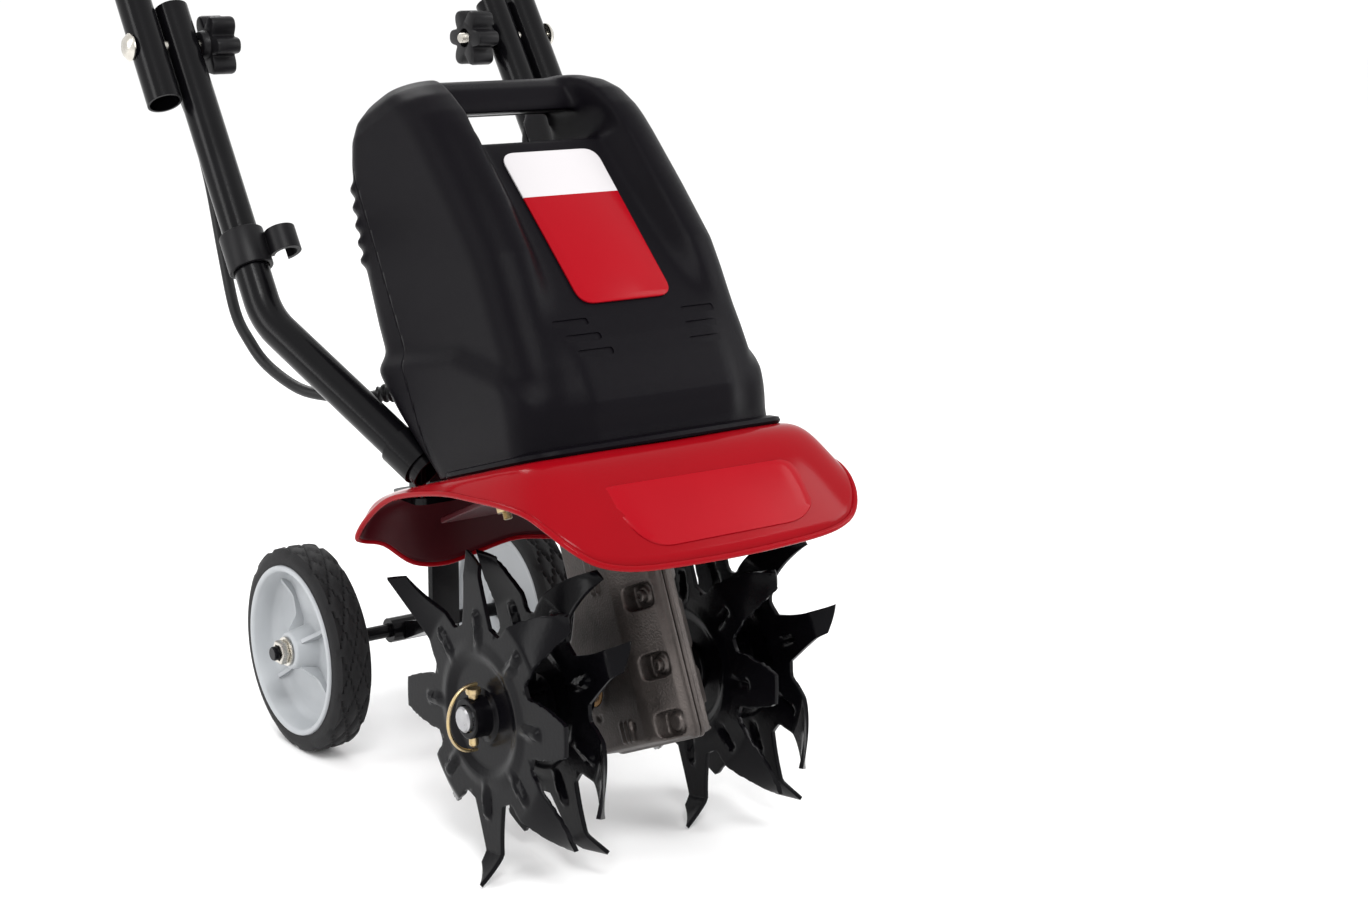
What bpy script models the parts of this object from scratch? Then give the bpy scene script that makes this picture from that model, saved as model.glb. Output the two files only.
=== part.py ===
"""Small corded tiller: a worm-driven set of four tines under a leaning motor housing.

Metres, +Z up, the front faces -Y and the mid plane is X = 0. The origin lies on the ground at the
centre of the machine's outline. Pieces of the leaning machine body are built in the body frame, whose
origin is on the tine shaft; the rest is built in the ground frame, whose origin is below that shaft.
"""

import math

import bmesh
import bpy
from mathutils import Matrix, Vector

# Driving dimensions
GAP = 0.0003
SHAFT_Y = -0.2900
SHAFT_Z = 0.1010
LEAN = math.radians(24.07)

TINE_RADIUS = 0.1010
TINE_STUB_RADIUS = 0.0915
TINE_NOTCH_RADIUS = 0.0560
TINE_DISH_RADIUS = 0.0380
TINE_THICKNESS = 0.0026
OUTER_TINE_X = 0.0986
INNER_TINE_X = 0.0581
BLADES = 8

SHAFT_RADIUS = 0.0080
SHAFT_HALF_LENGTH = 0.1165
HUB_RADIUS = 0.0130
CLICK_PIN_X = 0.1080

CASE_HALF_WIDTH = 0.0200
WHEEL_TEETH = 30
WORM_CENTRE = 0.0415
WORM_PITCH = 2 * math.pi * 0.0330 / WHEEL_TEETH

WHEEL_RADIUS = 0.0728
RIM_RADIUS = 0.0608
TYRE_INNER_X = 0.0717
TYRE_OUTER_X = 0.1000
AXLE_Y = 0.2591
AXLE_Z = 0.0728
AXLE_RADIUS = 0.0050

HANDLE_TUBE_RADIUS = 0.0120
TUBE_WALL = 0.0015
LOWER_TUBE_X = 0.1320
UPPER_TUBE_X = 0.1575
HANDLE_SLOPE = math.radians(55.7)
FOLD_Y = 0.3351
FOLD_Z = 0.4950
CROSSBAR_RISE = 0.5900
BOLT_RADIUS = 0.0038
LEAD_RADIUS = 0.0040
LEAD_EXIT = (-0.0700, 0.1190, 0.2745)
TOP_BEND_RADIUS = 0.0700
LOWER_BEND_RADIUS = 0.0600

CLICK_PIN_RADIUS = 0.0030
CLICK_RING_REACH = 0.0170
CLICK_RING_RISE = 0.0208
CLICK_WIRE_RADIUS = 0.0011
PLATE_BOTTOM_Z = 0.1246
PLATE_TOP_Z = 0.1282
HOUSING_WALL = 0.0030
SHIELD_THICKNESS = 0.0016
BOX_HALF_WIDTH = 0.0460
INLET_X = 0.0240
INLET_Y = 0.0120
INLET_WAY_RADIUS = 0.0118


# Scene and materials

def clear_scene():
    for obj in list(bpy.data.objects):
        bpy.data.objects.remove(obj, do_unlink=True)


def material(name, colour, roughness, metallic=0.0):
    made = bpy.data.materials.new(name)
    made.use_nodes = True
    shader = made.node_tree.nodes["Principled BSDF"]
    shader.inputs["Base Color"].default_value = (*colour, 1.0)
    shader.inputs["Roughness"].default_value = roughness
    shader.inputs["Metallic"].default_value = metallic
    return made


def empty(name, parent=None, location=(0, 0, 0), turn_x=0.0):
    made = bpy.data.objects.new(name, None)
    bpy.context.collection.objects.link(made)
    made.parent = parent
    made.location = location
    made.rotation_euler = (turn_x, 0, 0)
    return made


# Mesh makers

def add_object(name, mesh, parent, finish, location=(0, 0, 0), rotation=(0, 0, 0)):
    """Links a mesh as a named part of the machine."""
    obj = bpy.data.objects.new(name, mesh)
    bpy.context.collection.objects.link(obj)
    obj.parent = parent
    obj.location = location
    obj.rotation_euler = rotation
    if finish is not None:
        mesh.materials.append(finish)
    mesh.shade_smooth()
    mesh.set_sharp_from_angle(angle=math.radians(35))
    return obj


def mesh_of(name, points, faces):
    mesh = bpy.data.meshes.new(name)
    mesh.from_pydata([tuple(point) for point in points], [], faces)
    work = bmesh.new()
    work.from_mesh(mesh)
    bmesh.ops.recalc_face_normals(work, faces=work.faces)
    work.to_mesh(mesh)
    work.free()
    return mesh


def loft(name, sections, ring=False):
    """Joins sections, lists of equally many points around one loop, into one closed mesh."""
    count = len(sections[0])
    points = [point for section in sections for point in section]
    faces = []
    last = len(sections) if ring else len(sections) - 1
    for i in range(last):
        a = i * count
        b = (i + 1) % len(sections) * count
        for j in range(count):
            k = (j + 1) % count
            faces.append((a + j, a + k, b + k, b + j))
    if not ring:
        faces.append(tuple(range(count))[::-1])
        faces.append(tuple(range((len(sections) - 1) * count, len(sections) * count)))
    return mesh_of(name, points, faces)


def turned(name, profile, steps=32, axis="X"):
    """Turns a closed profile of (along, radius) points, all off the axis, into a ring about an axis."""
    sections = []
    for i in range(steps):
        angle = 2 * math.pi * i / steps
        across, up = math.cos(angle), math.sin(angle)
        if axis == "X":
            sections.append([(a, r * across, r * up) for a, r in profile])
        elif axis == "Y":
            sections.append([(r * up, a, r * across) for a, r in profile])
        else:
            sections.append([(r * across, r * up, a) for a, r in profile])
    return loft(name, sections, ring=True)


def rod(name, stations, steps=16, axis="X"):
    """A solid round bar through (along, radius) stations, with flat ends."""
    sections = []
    for along, radius in stations:
        loop = []
        for i in range(steps):
            angle = 2 * math.pi * i / steps
            across, up = radius * math.cos(angle), radius * math.sin(angle)
            if axis == "X":
                loop.append((along, across, up))
            elif axis == "Y":
                loop.append((up, along, across))
            else:
                loop.append((across, up, along))
        sections.append(loop)
    return loft(name, sections)


def prism(name, outline, low, high, axis="X"):
    """Extrudes an outline between two stations along an axis; X takes (y, z), Y (x, z), Z (x, y)."""
    def place(point, along):
        if axis == "X":
            return (along, point[0], point[1])
        if axis == "Y":
            return (point[0], along, point[1])
        return (point[0], point[1], along)
    return loft(name, [[place(p, low) for p in outline], [place(p, high) for p in outline]])


def block(name, low, high):
    outline = [(low[0], low[1]), (high[0], low[1]), (high[0], high[1]), (low[0], high[1])]
    return prism(name, outline, low[2], high[2], "Z")


def rounded_box(name, low, high, radius, parent, finish, segments=1):
    obj = add_object(name, block(name, low, high), parent, finish)
    bevel = obj.modifiers.new("edges", "BEVEL")
    bevel.width = radius
    bevel.segments = segments
    return obj


def cutter(mesh, parent, location=(0, 0, 0), rotation=(0, 0, 0)):
    obj = add_object("cut_" + mesh.name, mesh, parent, None, location, rotation)
    obj.hide_render = True
    obj.display_type = "WIRE"
    return obj


def combine(obj, other, operation="DIFFERENCE"):
    step = obj.modifiers.new("joined", "BOOLEAN")
    step.operation = operation
    step.object = other


def tube_curve(name, route, radius, parent, finish):
    """A round tube along a POLY spline with filled caps."""
    curve = bpy.data.curves.new(name, "CURVE")
    curve.dimensions = "3D"
    curve.bevel_depth = radius
    curve.bevel_resolution = 2
    curve.use_fill_caps = True
    spline = curve.splines.new("POLY")
    spline.points.add(len(route) - 1)
    for point, place in zip(spline.points, route):
        point.co = (*place, 1.0)
    curve.materials.append(finish)
    obj = bpy.data.objects.new(name, curve)
    bpy.context.collection.objects.link(obj)
    obj.parent = parent
    return obj


def swept_rings(route, radius, steps):
    """Rings of points square to a route, each turned as little as possible from the one before."""
    route = [Vector(place) for place in route]
    sections = []
    side = Vector((1, 0, 0))
    for i, place in enumerate(route):
        ahead = (route[min(i + 1, len(route) - 1)] - route[max(i - 1, 0)]).normalized()
        side = side - ahead * side.dot(ahead)
        if side.length < 1e-4:
            side = ahead.orthogonal()
        side.normalize()
        up = ahead.cross(side)
        sections.append([place + radius * (side * math.cos(2 * math.pi * j / steps)
                                           + up * math.sin(2 * math.pi * j / steps)) for j in range(steps)])
    return sections


def swept_tube(name, route, radius, steps=14):
    """A solid round bar along a route."""
    return loft(name, swept_rings(route, radius, steps))


def swept_pipe(name, route, radius, wall, steps=12):
    """A hollow tube along a route, open at both ends."""
    outer, inner = swept_rings(route, radius, steps), swept_rings(route, radius - wall, steps)
    return loft(name, outer + inner[::-1], ring=True)


def smooth_route(knots, spacing):
    """Points at about an even spacing on the smooth curve through the knots."""
    knots = [Vector(knot) for knot in knots]
    ends = [2 * knots[0] - knots[1]] + knots + [2 * knots[-1] - knots[-2]]
    route = [knots[0]]
    for a, b, c, d in zip(ends, ends[1:], ends[2:], ends[3:]):
        steps = max(1, round((c - b).length / spacing))
        for i in range(1, steps + 1):
            t = i / steps
            route.append(0.5 * (2 * b + (c - a) * t + (2 * a - 5 * b + 4 * c - d) * t ** 2
                                + (3 * b - a - 3 * c + d) * t ** 3))
    return route


def filleted(corners, radius, steps=5):
    """A route through straight runs whose inner corners are turned into arcs."""
    corners = [Vector(corner) for corner in corners]
    route = [corners[0]]
    for before, corner, after in zip(corners, corners[1:], corners[2:]):
        into, out = (before - corner).normalized(), (after - corner).normalized()
        half = into.angle(out) / 2
        reach = radius / math.tan(half)
        centre = corner + (into + out).normalized() * radius / math.sin(half)
        start, end = corner + into * reach - centre, corner + out * reach - centre
        sweep = start.angle(end)
        for i in range(steps + 1):
            t = i / steps
            arm = (start * math.sin((1 - t) * sweep) + end * math.sin(t * sweep)) / math.sin(sweep)
            route.append(centre + arm)
    route.append(corners[-1])
    return route


def along_handle(distance, x):
    """A ground-frame point on the handles' straight run, measured up the slope from the fold bolt."""
    return (x, FOLD_Y + distance * math.cos(HANDLE_SLOPE), FOLD_Z + distance * math.sin(HANDLE_SLOPE))


# Tines

def tine_mesh(name, bends, first_angle):
    """One stamped tine disc in its own plane: a dished ring whose eight blades have bent tips."""
    radial_steps, across_steps = 7, 2
    pitch = 2 * math.pi / BLADES
    points, faces = [], []

    def half_angle(radius, tip_radius):
        """Half the blade's width at a radius, as an angle about the shaft."""
        if radius <= TINE_NOTCH_RADIUS:
            return pitch / 2
        reach = (radius - TINE_NOTCH_RADIUS) / (tip_radius - TINE_NOTCH_RADIUS)
        half_width = 0.0185 * (1 - reach) ** 0.55 + 0.0042
        return min(pitch / 2, half_width / radius)

    def bend_at(radius, bend):
        reach = max(0.0, (radius - 0.070) / (TINE_RADIUS - 0.070))
        return bend * reach ** 1.5

    def dish_at(radius):
        return -0.0035 if radius > TINE_DISH_RADIUS else 0.0

    inner_rings = (HUB_RADIUS + GAP, TINE_DISH_RADIUS - 0.004, TINE_DISH_RADIUS, TINE_NOTCH_RADIUS)
    index = {}
    for blade in range(BLADES):
        centre = first_angle + blade * pitch
        tip = TINE_RADIUS if bends[blade] else TINE_STUB_RADIUS
        radii = list(inner_rings)
        for i in range(1, radial_steps - 1):
            radii.append(TINE_NOTCH_RADIUS + (tip - TINE_NOTCH_RADIUS) * (i / (radial_steps - 2)) ** 0.9)
        for side in (0, 1):
            for i, radius in enumerate(radii):
                half = half_angle(radius, tip)
                for j in range(across_steps + 1):
                    shared = i < len(inner_rings)
                    if shared and j == across_steps:
                        index[blade, side, i, j] = ((blade + 1) % BLADES, side, i, 0)
                        continue
                    angle = centre - half + 2 * half * j / across_steps
                    x = dish_at(radius) + bend_at(radius, bends[blade]) + (side - 0.5) * TINE_THICKNESS
                    index[blade, side, i, j] = len(points)
                    points.append((x, radius * math.cos(angle), radius * math.sin(angle)))

    def at(*key):
        found = index[key]
        return at(*found) if isinstance(found, tuple) else found

    rows = len(inner_rings) + radial_steps - 2
    for blade in range(BLADES):
        for i in range(rows - 1):
            for j in range(across_steps):
                for side in (0, 1):
                    faces.append((at(blade, side, i, j), at(blade, side, i, j + 1),
                                  at(blade, side, i + 1, j + 1), at(blade, side, i + 1, j)))
        for j in range(across_steps):
            for i in (0, rows - 1):
                faces.append((at(blade, 0, i, j), at(blade, 0, i, j + 1),
                              at(blade, 1, i, j + 1), at(blade, 1, i, j)))
        for i in range(len(inner_rings) - 1, rows - 1):
            for j in (0, across_steps):
                faces.append((at(blade, 0, i, j), at(blade, 0, i + 1, j),
                              at(blade, 1, i + 1, j), at(blade, 1, i, j)))
    return mesh_of(name, points, faces)


def make_tines(shaft_frame, black_enamel):
    """Two kinds of disc, staggered by half a blade; the signs of the bends are along +X."""
    kind_a = (-0.020, 0.014, 0.020, 0.0, 0.018, -0.0145, 0.020, 0.0)
    kind_b = (0.0, -0.014, 0.018, 0.0145, -0.018, 0.0145, 0.0, -0.018)
    discs = (
        ("tine_outer_left", -OUTER_TINE_X, kind_a, 38),
        ("tine_inner_left", -INNER_TINE_X, kind_b, 15),
        ("tine_inner_right", INNER_TINE_X, kind_a, 38),
        ("tine_outer_right", OUTER_TINE_X, kind_b, 18),
    )
    for name, x, bends, angle in discs:
        mesh = tine_mesh(name, bends, math.radians(angle))
        add_object(name, mesh, shaft_frame, black_enamel, (x, 0, 0))


def make_tine_shaft(shaft_frame, steel, black_enamel, zinc):
    shaft = add_object("tine_shaft", rod("tine_shaft", [
        (-SHAFT_HALF_LENGTH, SHAFT_RADIUS - 0.001), (-SHAFT_HALF_LENGTH + 0.001, SHAFT_RADIUS),
        (SHAFT_HALF_LENGTH - 0.001, SHAFT_RADIUS), (SHAFT_HALF_LENGTH, SHAFT_RADIUS - 0.001),
    ]), shaft_frame, steel)
    for word, side in (("left", -1), ("right", 1)):
        inner, outer = side * 0.0275, side * 0.1135
        hub = add_object(f"tine_hub_{word}", turned(f"tine_hub_{word}", [
            (inner, SHAFT_RADIUS + GAP), (outer, SHAFT_RADIUS + GAP), (outer, HUB_RADIUS), (inner, HUB_RADIUS),
        ], 20), shaft_frame, black_enamel)
        hole = cutter(rod("pin_hole", [(-0.02, 0.0036), (0.02, 0.0036)], 12, "Z"), shaft_frame,
                      (side * CLICK_PIN_X, 0, 0))
        combine(hub, hole)
        combine(shaft, hole)
        add_object(f"click_pin_{word}", rod(f"click_pin_{word}", [
            (-0.0185, 0.0022), (-0.0175, CLICK_PIN_RADIUS), (0.0150, CLICK_PIN_RADIUS), (0.0151, 0.0046),
            (0.0185, 0.0046),
        ], 12, "Z"), shaft_frame, zinc, (side * CLICK_PIN_X, 0, 0))


def make_click_rings(shaft_frame, zinc):
    """A spring wire loop on each click pin, from one end of the pin round the shaft's end to the other."""
    for word, side in (("left", -1), ("right", 1)):
        frame = empty(f"click_ring_frame_{word}", shaft_frame, (side * CLICK_PIN_X, 0, 0))
        route = [(-side * 0.0025, 0, CLICK_RING_RISE)]
        for i in range(9):
            angle = math.radians(90 - 180 * i / 8)
            across = 0.0010 + CLICK_RING_REACH * math.cos(angle)
            route.append((side * across, 0, CLICK_RING_RISE * math.sin(angle)))
        route.append((-side * 0.0025, 0, -CLICK_RING_RISE))
        wire = swept_tube(f"click_ring_{word}", route, CLICK_WIRE_RADIUS, 8)
        add_object(f"click_ring_{word}", wire, frame, zinc)


def make_worm_drive(body, shaft_frame, bronze, steel, dark):
    """A bronze wheel on the tine shaft and the worm on the motor's shaft, at rest in mesh."""
    outline = []
    for tooth in range(WHEEL_TEETH):
        for share, radius in ((-0.34, 0.0300), (-0.13, 0.0340), (0.13, 0.0340), (0.34, 0.0300)):
            angle = 2 * math.pi * (tooth + share) / WHEEL_TEETH
            outline.append((radius * math.cos(angle), radius * math.sin(angle)))
    half_face = 0.0055
    lead_angle = math.atan(WORM_PITCH / (2 * math.pi * 0.0085))
    sections = []
    for x in (-half_face, half_face):
        twist = Matrix.Rotation(math.tan(lead_angle) * x / 0.033, 2)
        sections.append([(x, *(twist @ Vector(point))) for point in outline])
    wheel = add_object("worm_wheel", loft("worm_wheel", sections), shaft_frame, bronze)
    bore = rod("worm_wheel_bore", [(-0.02, SHAFT_RADIUS + GAP), (0.02, SHAFT_RADIUS + GAP)], 20)
    combine(wheel, cutter(bore, shaft_frame))

    shaft = add_object("motor_shaft", rod("motor_shaft", [
        (-0.034, 0.0040), (-0.024, 0.0040), (-0.0239, 0.0066), (0.0239, 0.0066), (0.024, 0.0040),
        (0.152, 0.0040), (0.1521, 0.0160), (0.2250, 0.0160), (0.2251, 0.0040), (0.268, 0.0040),
    ], 16, "Z"), body, steel, (0, -WORM_CENTRE, 0))
    steps = 12
    turns = 4
    sections = []
    for i in range(steps * turns + 1):
        angle = 2 * math.pi * i / steps
        rise = WORM_PITCH * (i / steps - turns / 2 + 0.25)
        ramp = min(1.0, i / 4, (steps * turns - i) / 4)
        crest = 0.0060 + 0.0045 * ramp
        loop = []
        for radius, offset in ((0.0055, -0.0013), (crest, -0.0005), (crest, 0.0005), (0.0055, 0.0013)):
            loop.append((radius * math.cos(angle), radius * math.sin(angle), rise + offset))
        sections.append(loop)
    thread = cutter(loft("worm_thread", sections), body, (0, -WORM_CENTRE, 0))
    combine(shaft, thread, "UNION")

    fan = add_object("cooling_fan", turned("cooling_fan", [
        (0.0, 0.0043), (0.010, 0.0043), (0.010, 0.0100), (0.0022, 0.0100), (0.0022, 0.0300), (0.0, 0.0300),
    ], 24, "Z"), body, dark, (0, -WORM_CENTRE, 0.2480))
    for i in range(7):
        blade = block("fan_blade", (0.0090, -0.0008, 0.0005), (0.0295, 0.0008, 0.0140))
        combine(fan, cutter(blade, body, (0, -WORM_CENTRE, 0.2480), (0, 0, 2 * math.pi * i / 7)), "UNION")


# Gear case

def case_outline(inset=0.0):
    """The clamshell's outline in the body's (y, z) plane, or the same drawn in by an inset."""
    front, top, bottom, back = -0.0745 + inset, 0.1240, -0.0440 + inset, 0.0040 - inset
    outline = [(front, top), (front, bottom + 0.008), (front + 0.008, bottom), (0.012, bottom)]
    radius = 0.0400 - inset
    for degrees in (-62, -40, -18, 4, 26, 48, 70):
        outline.append((radius * math.cos(math.radians(degrees)), radius * math.sin(math.radians(degrees))))
    outline += [(back, 0.0520), (back, top)]
    return outline


def make_gear_case(body, cast_metal, steel, bronze):
    for word, side in (("left", -1), ("right", 1)):
        inner, outer = side * GAP / 2, side * CASE_HALF_WIDTH
        low, high = min(inner, outer), max(inner, outer)
        shell = prism(f"gear_case_{word}", case_outline(), low, high)
        half = add_object(f"gear_case_{word}", shell, body, cast_metal)
        pocket = prism(f"case_pocket_{word}", case_outline(0.0045), -0.0130, 0.0130)
        combine(half, cutter(pocket, body))
        combine(half, cutter(rod("shaft_bore", [(-0.03, 0.0113), (0.03, 0.0113)], 20), body))
        worm_way = rod("shaft_way", [(0.10, 0.0050), (0.14, 0.0050)], 16, "Z")
        combine(half, cutter(worm_way, body, (0, -WORM_CENTRE, 0)))
        add_object(f"shaft_bush_{word}", turned(f"shaft_bush_{word}", [
            (side * 0.0125, SHAFT_RADIUS + 0.00016), (side * 0.0202, SHAFT_RADIUS + 0.00016),
            (side * 0.0202, 0.0110), (side * 0.0125, 0.0110),
        ], 20), body, bronze)
    for i, (y, z) in enumerate(((-0.0700, 0.0500), (-0.0700, 0.0100), (-0.0450, 0.0800))):
        add_object(f"case_screw_{i + 1}", rod(f"case_screw_{i + 1}", [
            (-0.0228, 0.0030), (-0.0222, 0.0037), (-0.0204, 0.0037), (-0.0203, 0.0037),
        ], 10), body, steel, (0, y, z))


# Motor and housing

def make_motor(body, steel, zinc):
    """The motor can stands on a plate that also carries the shield and the handle bracket."""
    low, high = (-0.0780, -0.0850, PLATE_BOTTOM_Z), (0.0780, 0.0380, PLATE_TOP_Z)
    plate = rounded_box("motor_plate", low, high, 0.0006, body, steel)
    way = rod("plate_way", [(0.11, 0.0060), (0.14, 0.0060)], 16, "Z")
    combine(plate, cutter(way, body, (0, -WORM_CENTRE, 0)))
    can = add_object("motor_can", turned("motor_can", [
        (0.1290, 0.0060), (0.2440, 0.0060), (0.2440, 0.0120), (0.2360, 0.0180), (0.2360, 0.0440),
        (0.1330, 0.0440), (0.1290, 0.0400),
    ], 28, "Z"), body, zinc, (0, -WORM_CENTRE, 0))
    room = rod("rotor_room", [(0.1480, 0.0180), (0.2290, 0.0180)], 20, "Z")
    combine(can, cutter(room, body, (0, -WORM_CENTRE, 0)))


def u_section(z, half_width, front, back, wall, corner):
    """A U-shaped wall seen from above: left side, rounded front and right side, wall thick."""
    def arm(inset):
        x, y, r = half_width - inset, front + inset, max(corner - inset, 0.002)
        path = [(-x, back)]
        for degrees in (180, 210, 240, 270):
            angle = math.radians(degrees)
            path.append((-x + r + r * math.cos(angle), y + r + r * math.sin(angle)))
        path.append((0.0, y))
        for degrees in (270, 300, 330, 360):
            angle = math.radians(degrees)
            path.append((x - r + r * math.cos(angle), y + r + r * math.sin(angle)))
        path.append((x, back))
        return path
    return [(x, y, z) for x, y in arm(0.0)] + [(x, y, z) for x, y in reversed(arm(wall))]


def seam_y(z):
    """The join between the front and the rear cowl runs back as it rises."""
    return 0.0010 + (z - 0.138) * 0.135


PANEL_FOOT_Y = -0.1107
PANEL_FOOT_Z = 0.2215
PANEL_SLOPE = 0.4095
CROWN_FOOT_Z = 0.3420
CROWN_HALF_WIDTH = 0.0850


def panel_y(z):
    """The flat front panel leans further back than the body."""
    return PANEL_FOOT_Y + (z - PANEL_FOOT_Z) * PANEL_SLOPE


HOUSING_STATIONS = (
    # height, half width, front
    (0.1380, 0.0965, -0.1150), (0.1440, 0.0965, -0.1150), (0.1480, 0.0940, -0.1130), (0.1850, 0.0945, -0.1175),
    (0.2100, 0.0945, -0.1140), (PANEL_FOOT_Z, 0.0940, PANEL_FOOT_Y), (0.2430, 0.0900, panel_y(0.2430)),
    (0.2900, 0.0880, panel_y(0.2900)), (CROWN_FOOT_Z, CROWN_HALF_WIDTH, panel_y(CROWN_FOOT_Z)),
)


def make_housing(body, black_plastic, label_print):
    wall = HOUSING_WALL
    crown_back = seam_y(CROWN_FOOT_Z)
    front = add_object("front_cowl", loft("front_cowl", [
        u_section(z, half_width, y, seam_y(z), wall, 0.024) for z, half_width, y in HOUSING_STATIONS
    ]), body, black_plastic)
    roof = [(-0.0845, crown_back), (-0.0845, -0.0400), (-0.0700, -0.0590), (0.0700, -0.0590),
            (0.0845, -0.0400), (0.0845, crown_back)]
    combine(front, cutter(prism("cowl_roof", roof, 0.3380, 0.3470, "Z"), body), "UNION")
    outline = [(-0.0850, 0.3400), (-0.0835, 0.3750), (-0.0740, 0.3930), (-0.0570, 0.4015),
               (0.0570, 0.4015), (0.0740, 0.3930), (0.0835, 0.3750), (0.0850, 0.3400)]
    crown = cutter(prism("cowl_crown", outline, -0.0300, crown_back, "Y"), body)
    combine(front, crown, "UNION")
    gap = [(-0.0530, 0.3475), (-0.0530, 0.3700), (-0.0480, 0.3740), (0.0480, 0.3740), (0.0530, 0.3700),
           (0.0530, 0.3475)]
    combine(front, cutter(prism("finger_gap", gap, -0.0700, 0.0600, "Y"), body))

    rear_sections = []
    for z, half_width, _ in HOUSING_STATIONS[:-1] + ((0.3380, CROWN_HALF_WIDTH, 0.0),):
        y = seam_y(z) + GAP
        bulge = 0.0100 + 0.0100 * math.sin(math.pi * min(1.0, (z - 0.138) / 0.23))
        outer = [(-half_width, y), (-half_width + 0.012, y + bulge), (0, y + bulge + 0.004),
                 (half_width - 0.012, y + bulge), (half_width, y)]
        inner = [(half_width - wall, y), (half_width - 0.014, y + bulge - wall), (0, y + bulge + 0.004 - wall),
                 (-half_width + 0.014, y + bulge - wall), (-half_width + wall, y)]
        rear_sections.append([(px, py, z) for px, py in outer + inner])
    add_object("rear_cowl", loft("rear_cowl", rear_sections), body, black_plastic)

    label_outline = [(-0.0300, -0.0610), (-0.0340, -0.0570), (-0.0370, 0.0540), (-0.0320, 0.0610),
                     (0.0320, 0.0610), (0.0370, 0.0540), (0.0340, -0.0570), (0.0300, -0.0610)]
    centre_z = 0.2790
    add_object("cowl_label", prism("cowl_label", label_outline, 0.0, 0.0010, "Z"), body, label_print,
               (0, panel_y(centre_z) - GAP, centre_z), (math.pi / 2 - math.atan(PANEL_SLOPE), 0, 0))


# Shield

def make_shield(body, red_enamel, zinc):
    """A pressed cover: flat under the housing, turned down at the front and arched over the sides."""
    stations = (
        # y, z at the middle, half width, z at the rim
        (0.0780, 0.1290, 0.1050, 0.1180), (0.0500, 0.1345, 0.1160, 0.1250),
        (0.0080, 0.1370, 0.1200, 0.1290), (-0.0470, 0.1370, 0.1200, 0.1240),
        (-0.0950, 0.1370, 0.1180, 0.1130), (-0.1200, 0.1320, 0.1120, 0.1010),
        (-0.1350, 0.1180, 0.1030, 0.0880), (-0.1450, 0.0900, 0.0930, 0.0700),
        (-0.1530, 0.0600, 0.0820, 0.0570),
    )
    sections = []
    for y, z, half_width, rim_z in stations:
        line = []
        for i in range(13):
            u = -1 + i / 6
            drop = max(0.0, (abs(u) - 0.70) / 0.30) ** 1.6
            line.append((u * half_width, y, z - (z - rim_z) * drop))
        lower = []
        for x, line_y, line_z in reversed(line):
            back = 0.0010 if y < -0.11 else 0.0
            lower.append((x * (1 - SHIELD_THICKNESS / half_width), line_y + back, line_z - SHIELD_THICKNESS))
        sections.append(line + lower)
    shield = add_object("tine_shield", loft("tine_shield", sections), body, red_enamel)
    way = block("shield_way", (-0.0800, -0.0870, 0.1100), (0.0800, 0.0400, 0.1600))
    combine(shield, cutter(way, body))
    for i, (x, y) in enumerate(((-0.0700, -0.0600), (-0.0700, -0.0300), (0.0700, -0.0600), (0.0700, -0.0300))):
        add_object(f"shield_bolt_{i + 1}", rod(f"shield_bolt_{i + 1}", [
            (0.1150, 0.0030), (0.1185, 0.0030), (0.1186, 0.0060), (0.1243, 0.0060),
        ], 6, "Z"), body, zinc, (x, y, 0))


# Wheels

def make_wheels(ground, grey_plastic, rubber, zinc):
    for word, side in (("left", -1), ("right", 1)):
        frame = empty(f"wheel_frame_{word}", ground, (0, AXLE_Y, AXLE_Z))
        width = TYRE_OUTER_X - TYRE_INNER_X
        seat = RIM_RADIUS - 0.0004
        rim = [(0.0010, 0.0570), (0.0010, seat), (0.0290, seat), (0.0310, 0.0590),
               (0.0300, 0.0565), (0.0150, 0.0540), (0.0130, 0.0200), (0.0290, 0.0150), (0.0290, 0.0062),
               (0.0010, 0.0062), (0.0010, 0.0150), (0.0090, 0.0200), (0.0090, 0.0540)]
        hub = add_object(f"wheel_hub_{word}", turned(f"wheel_hub_{word}", [
            (side * (TYRE_INNER_X + x), r) for x, r in rim], 24), frame, grey_plastic)
        for i in range(4):
            angle = math.pi / 4 + i * math.pi / 2
            rib = block("hub_rib", (-0.0065, 0.0140, -0.0016), (0.0065, 0.0545, 0.0016))
            at = (side * (TYRE_INNER_X + 0.0155), 0, 0)
            combine(hub, cutter(rib, frame, at, (angle, 0, 0)), "UNION")
        tread = [(0.0, RIM_RADIUS), (width, RIM_RADIUS), (width, 0.0690), (width - 0.0040, WHEEL_RADIUS),
                 (0.0040, WHEEL_RADIUS), (0.0, 0.0690)]
        add_object(f"tyre_{word}", turned(f"tyre_{word}", [
            (side * (TYRE_INNER_X + x), r) for x, r in tread], 36), frame, rubber)
        add_object(f"axle_nut_{word}", turned(f"axle_nut_{word}", [
            (side * 0.1036, AXLE_RADIUS / 0.86 + GAP), (side * 0.1096, AXLE_RADIUS / 0.86 + GAP),
            (side * 0.1096, 0.0095), (side * 0.1036, 0.0095)], 6), ground, zinc, (0, AXLE_Y, AXLE_Z))


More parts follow.
